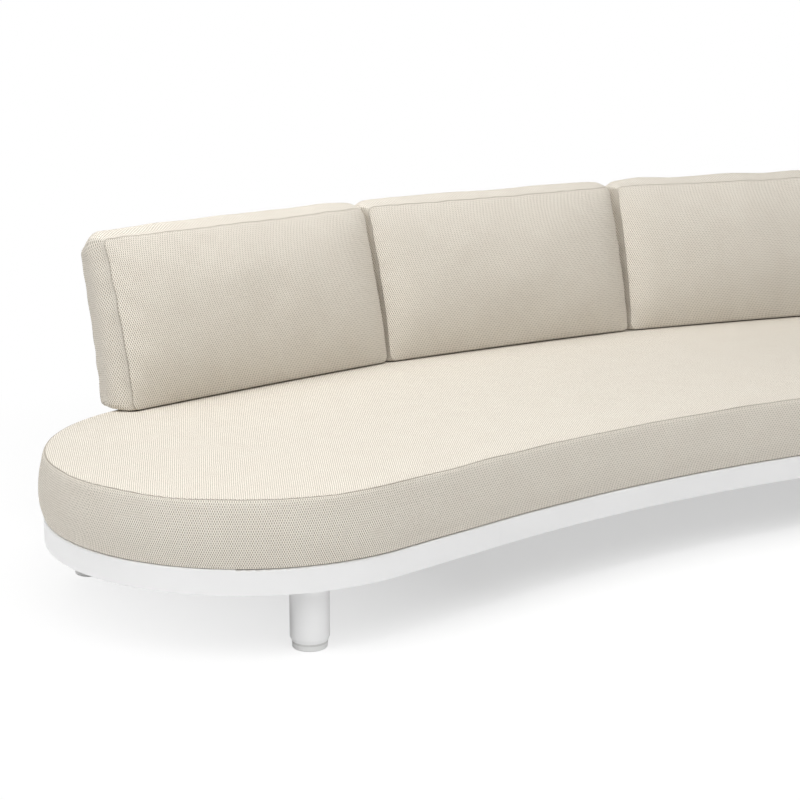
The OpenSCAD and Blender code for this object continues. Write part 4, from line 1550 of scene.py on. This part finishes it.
    def band_sides(self, front: Array, rear: Array, ring: Array) -> list[Array]:
        """Splits the band back into its four sides.

        Args:
            front: The front panel's points.
            rear: The rear panel's points.
            ring: The band's points between the panels, all the way round.

        Returns:
            The four sides with the panels' edges.
        """
        found: list[Array] = []
        at = 0
        for near, far in zip(self.sides(front), self.sides(rear)):
            rows = np.take(ring, np.arange(at, at + len(near)), axis=0, mode="wrap")
            found.append(np.concatenate([near[:, None], rows, far[:, None]], axis=1))
            at += len(near) - 1
        return found

    def sink_seams(self, front: Array, rear: Array, band: Sequence[Array], flat: Array) -> list[Array]:
        """Adds a line on each side of both seams and sinks the seams between them.

        Args:
            front: The front panel's points.
            rear: The rear panel's points.
            band: The four sides of the band.
            flat: Places of the panels' points on their cloth.

        Returns:
            The front, the rear, the four sides of the band and the places on the cloth.
        """
        share = self.seam_line / (self.width / self.columns)
        deep = self.seam_line / (self.depth / self.band)
        front, rear, flat = (edge_lines(grid, share, share) for grid in (front, rear, flat))
        band = [edge_lines(side, share, deep) for side in band]
        low = np.array([self.rim - self.width / 2, -math.inf, self.rim])
        high = np.array([self.width / 2 - self.rim, math.inf, self.height - self.rim])
        for grid, way, column in ((front, 1.0, 0), (rear, -1.0, -1)):
            for index in ((slice(None), 0), (slice(None), -1), (0, slice(None)), (-1, slice(None))):
                inward = unit(np.clip(grid[index], low, high) - grid[index])
                inward[:, 1] = way
                grid[index] += inward * self.groove / math.sqrt(2)
            for side, edge in zip(band, self.sides(grid)):
                side[:, column] = edge
        return [front, rear, *band, flat]


# ---------------------------------------------------------------- rigid nodes


@dataclass(frozen=True)
class RigidParts:
    """The CAD nodes that keep their shape, each with its finish."""

    palette: Palette

    def dress(self) -> None:
        """Gives every CAD node a procedural material, after the record's material slot."""
        palette = self.palette
        finishes = {"white_powder_coat": palette.coat, "grey_powder_coat": palette.hidden_coat,
                    "stainless_steel": palette.steel, "plug_plastic": palette.plug,
                    "glide_metal": palette.glide_coat, "cover_weave": palette.weave, "foam": palette.weave}
        for part in frame["record"]["subparts"]:
            node = frame["nodes"][part["node"]]
            finish = finishes[part["material_slot"]]
            if not node.material_slots:
                node.data.materials.append(finish)
            for slot in node.material_slots:
                slot.material = finish
            LOG.info("%s: %s", part["node"], finish.name)


# ---------------------------------------------------------------- main


def main() -> None:
    """Builds the studio and dresses the sofa."""
    logging.basicConfig(level=logging.INFO, format="%(name)s: %(message)s")
    Camera().build()
    palette = Palette()
    SeatCushion(palette).make()
    for where in Place:
        BackCushion(palette, where).make()
    RigidParts(palette).dress()
    Studio().build()


if __name__ == "__main__":
    main()
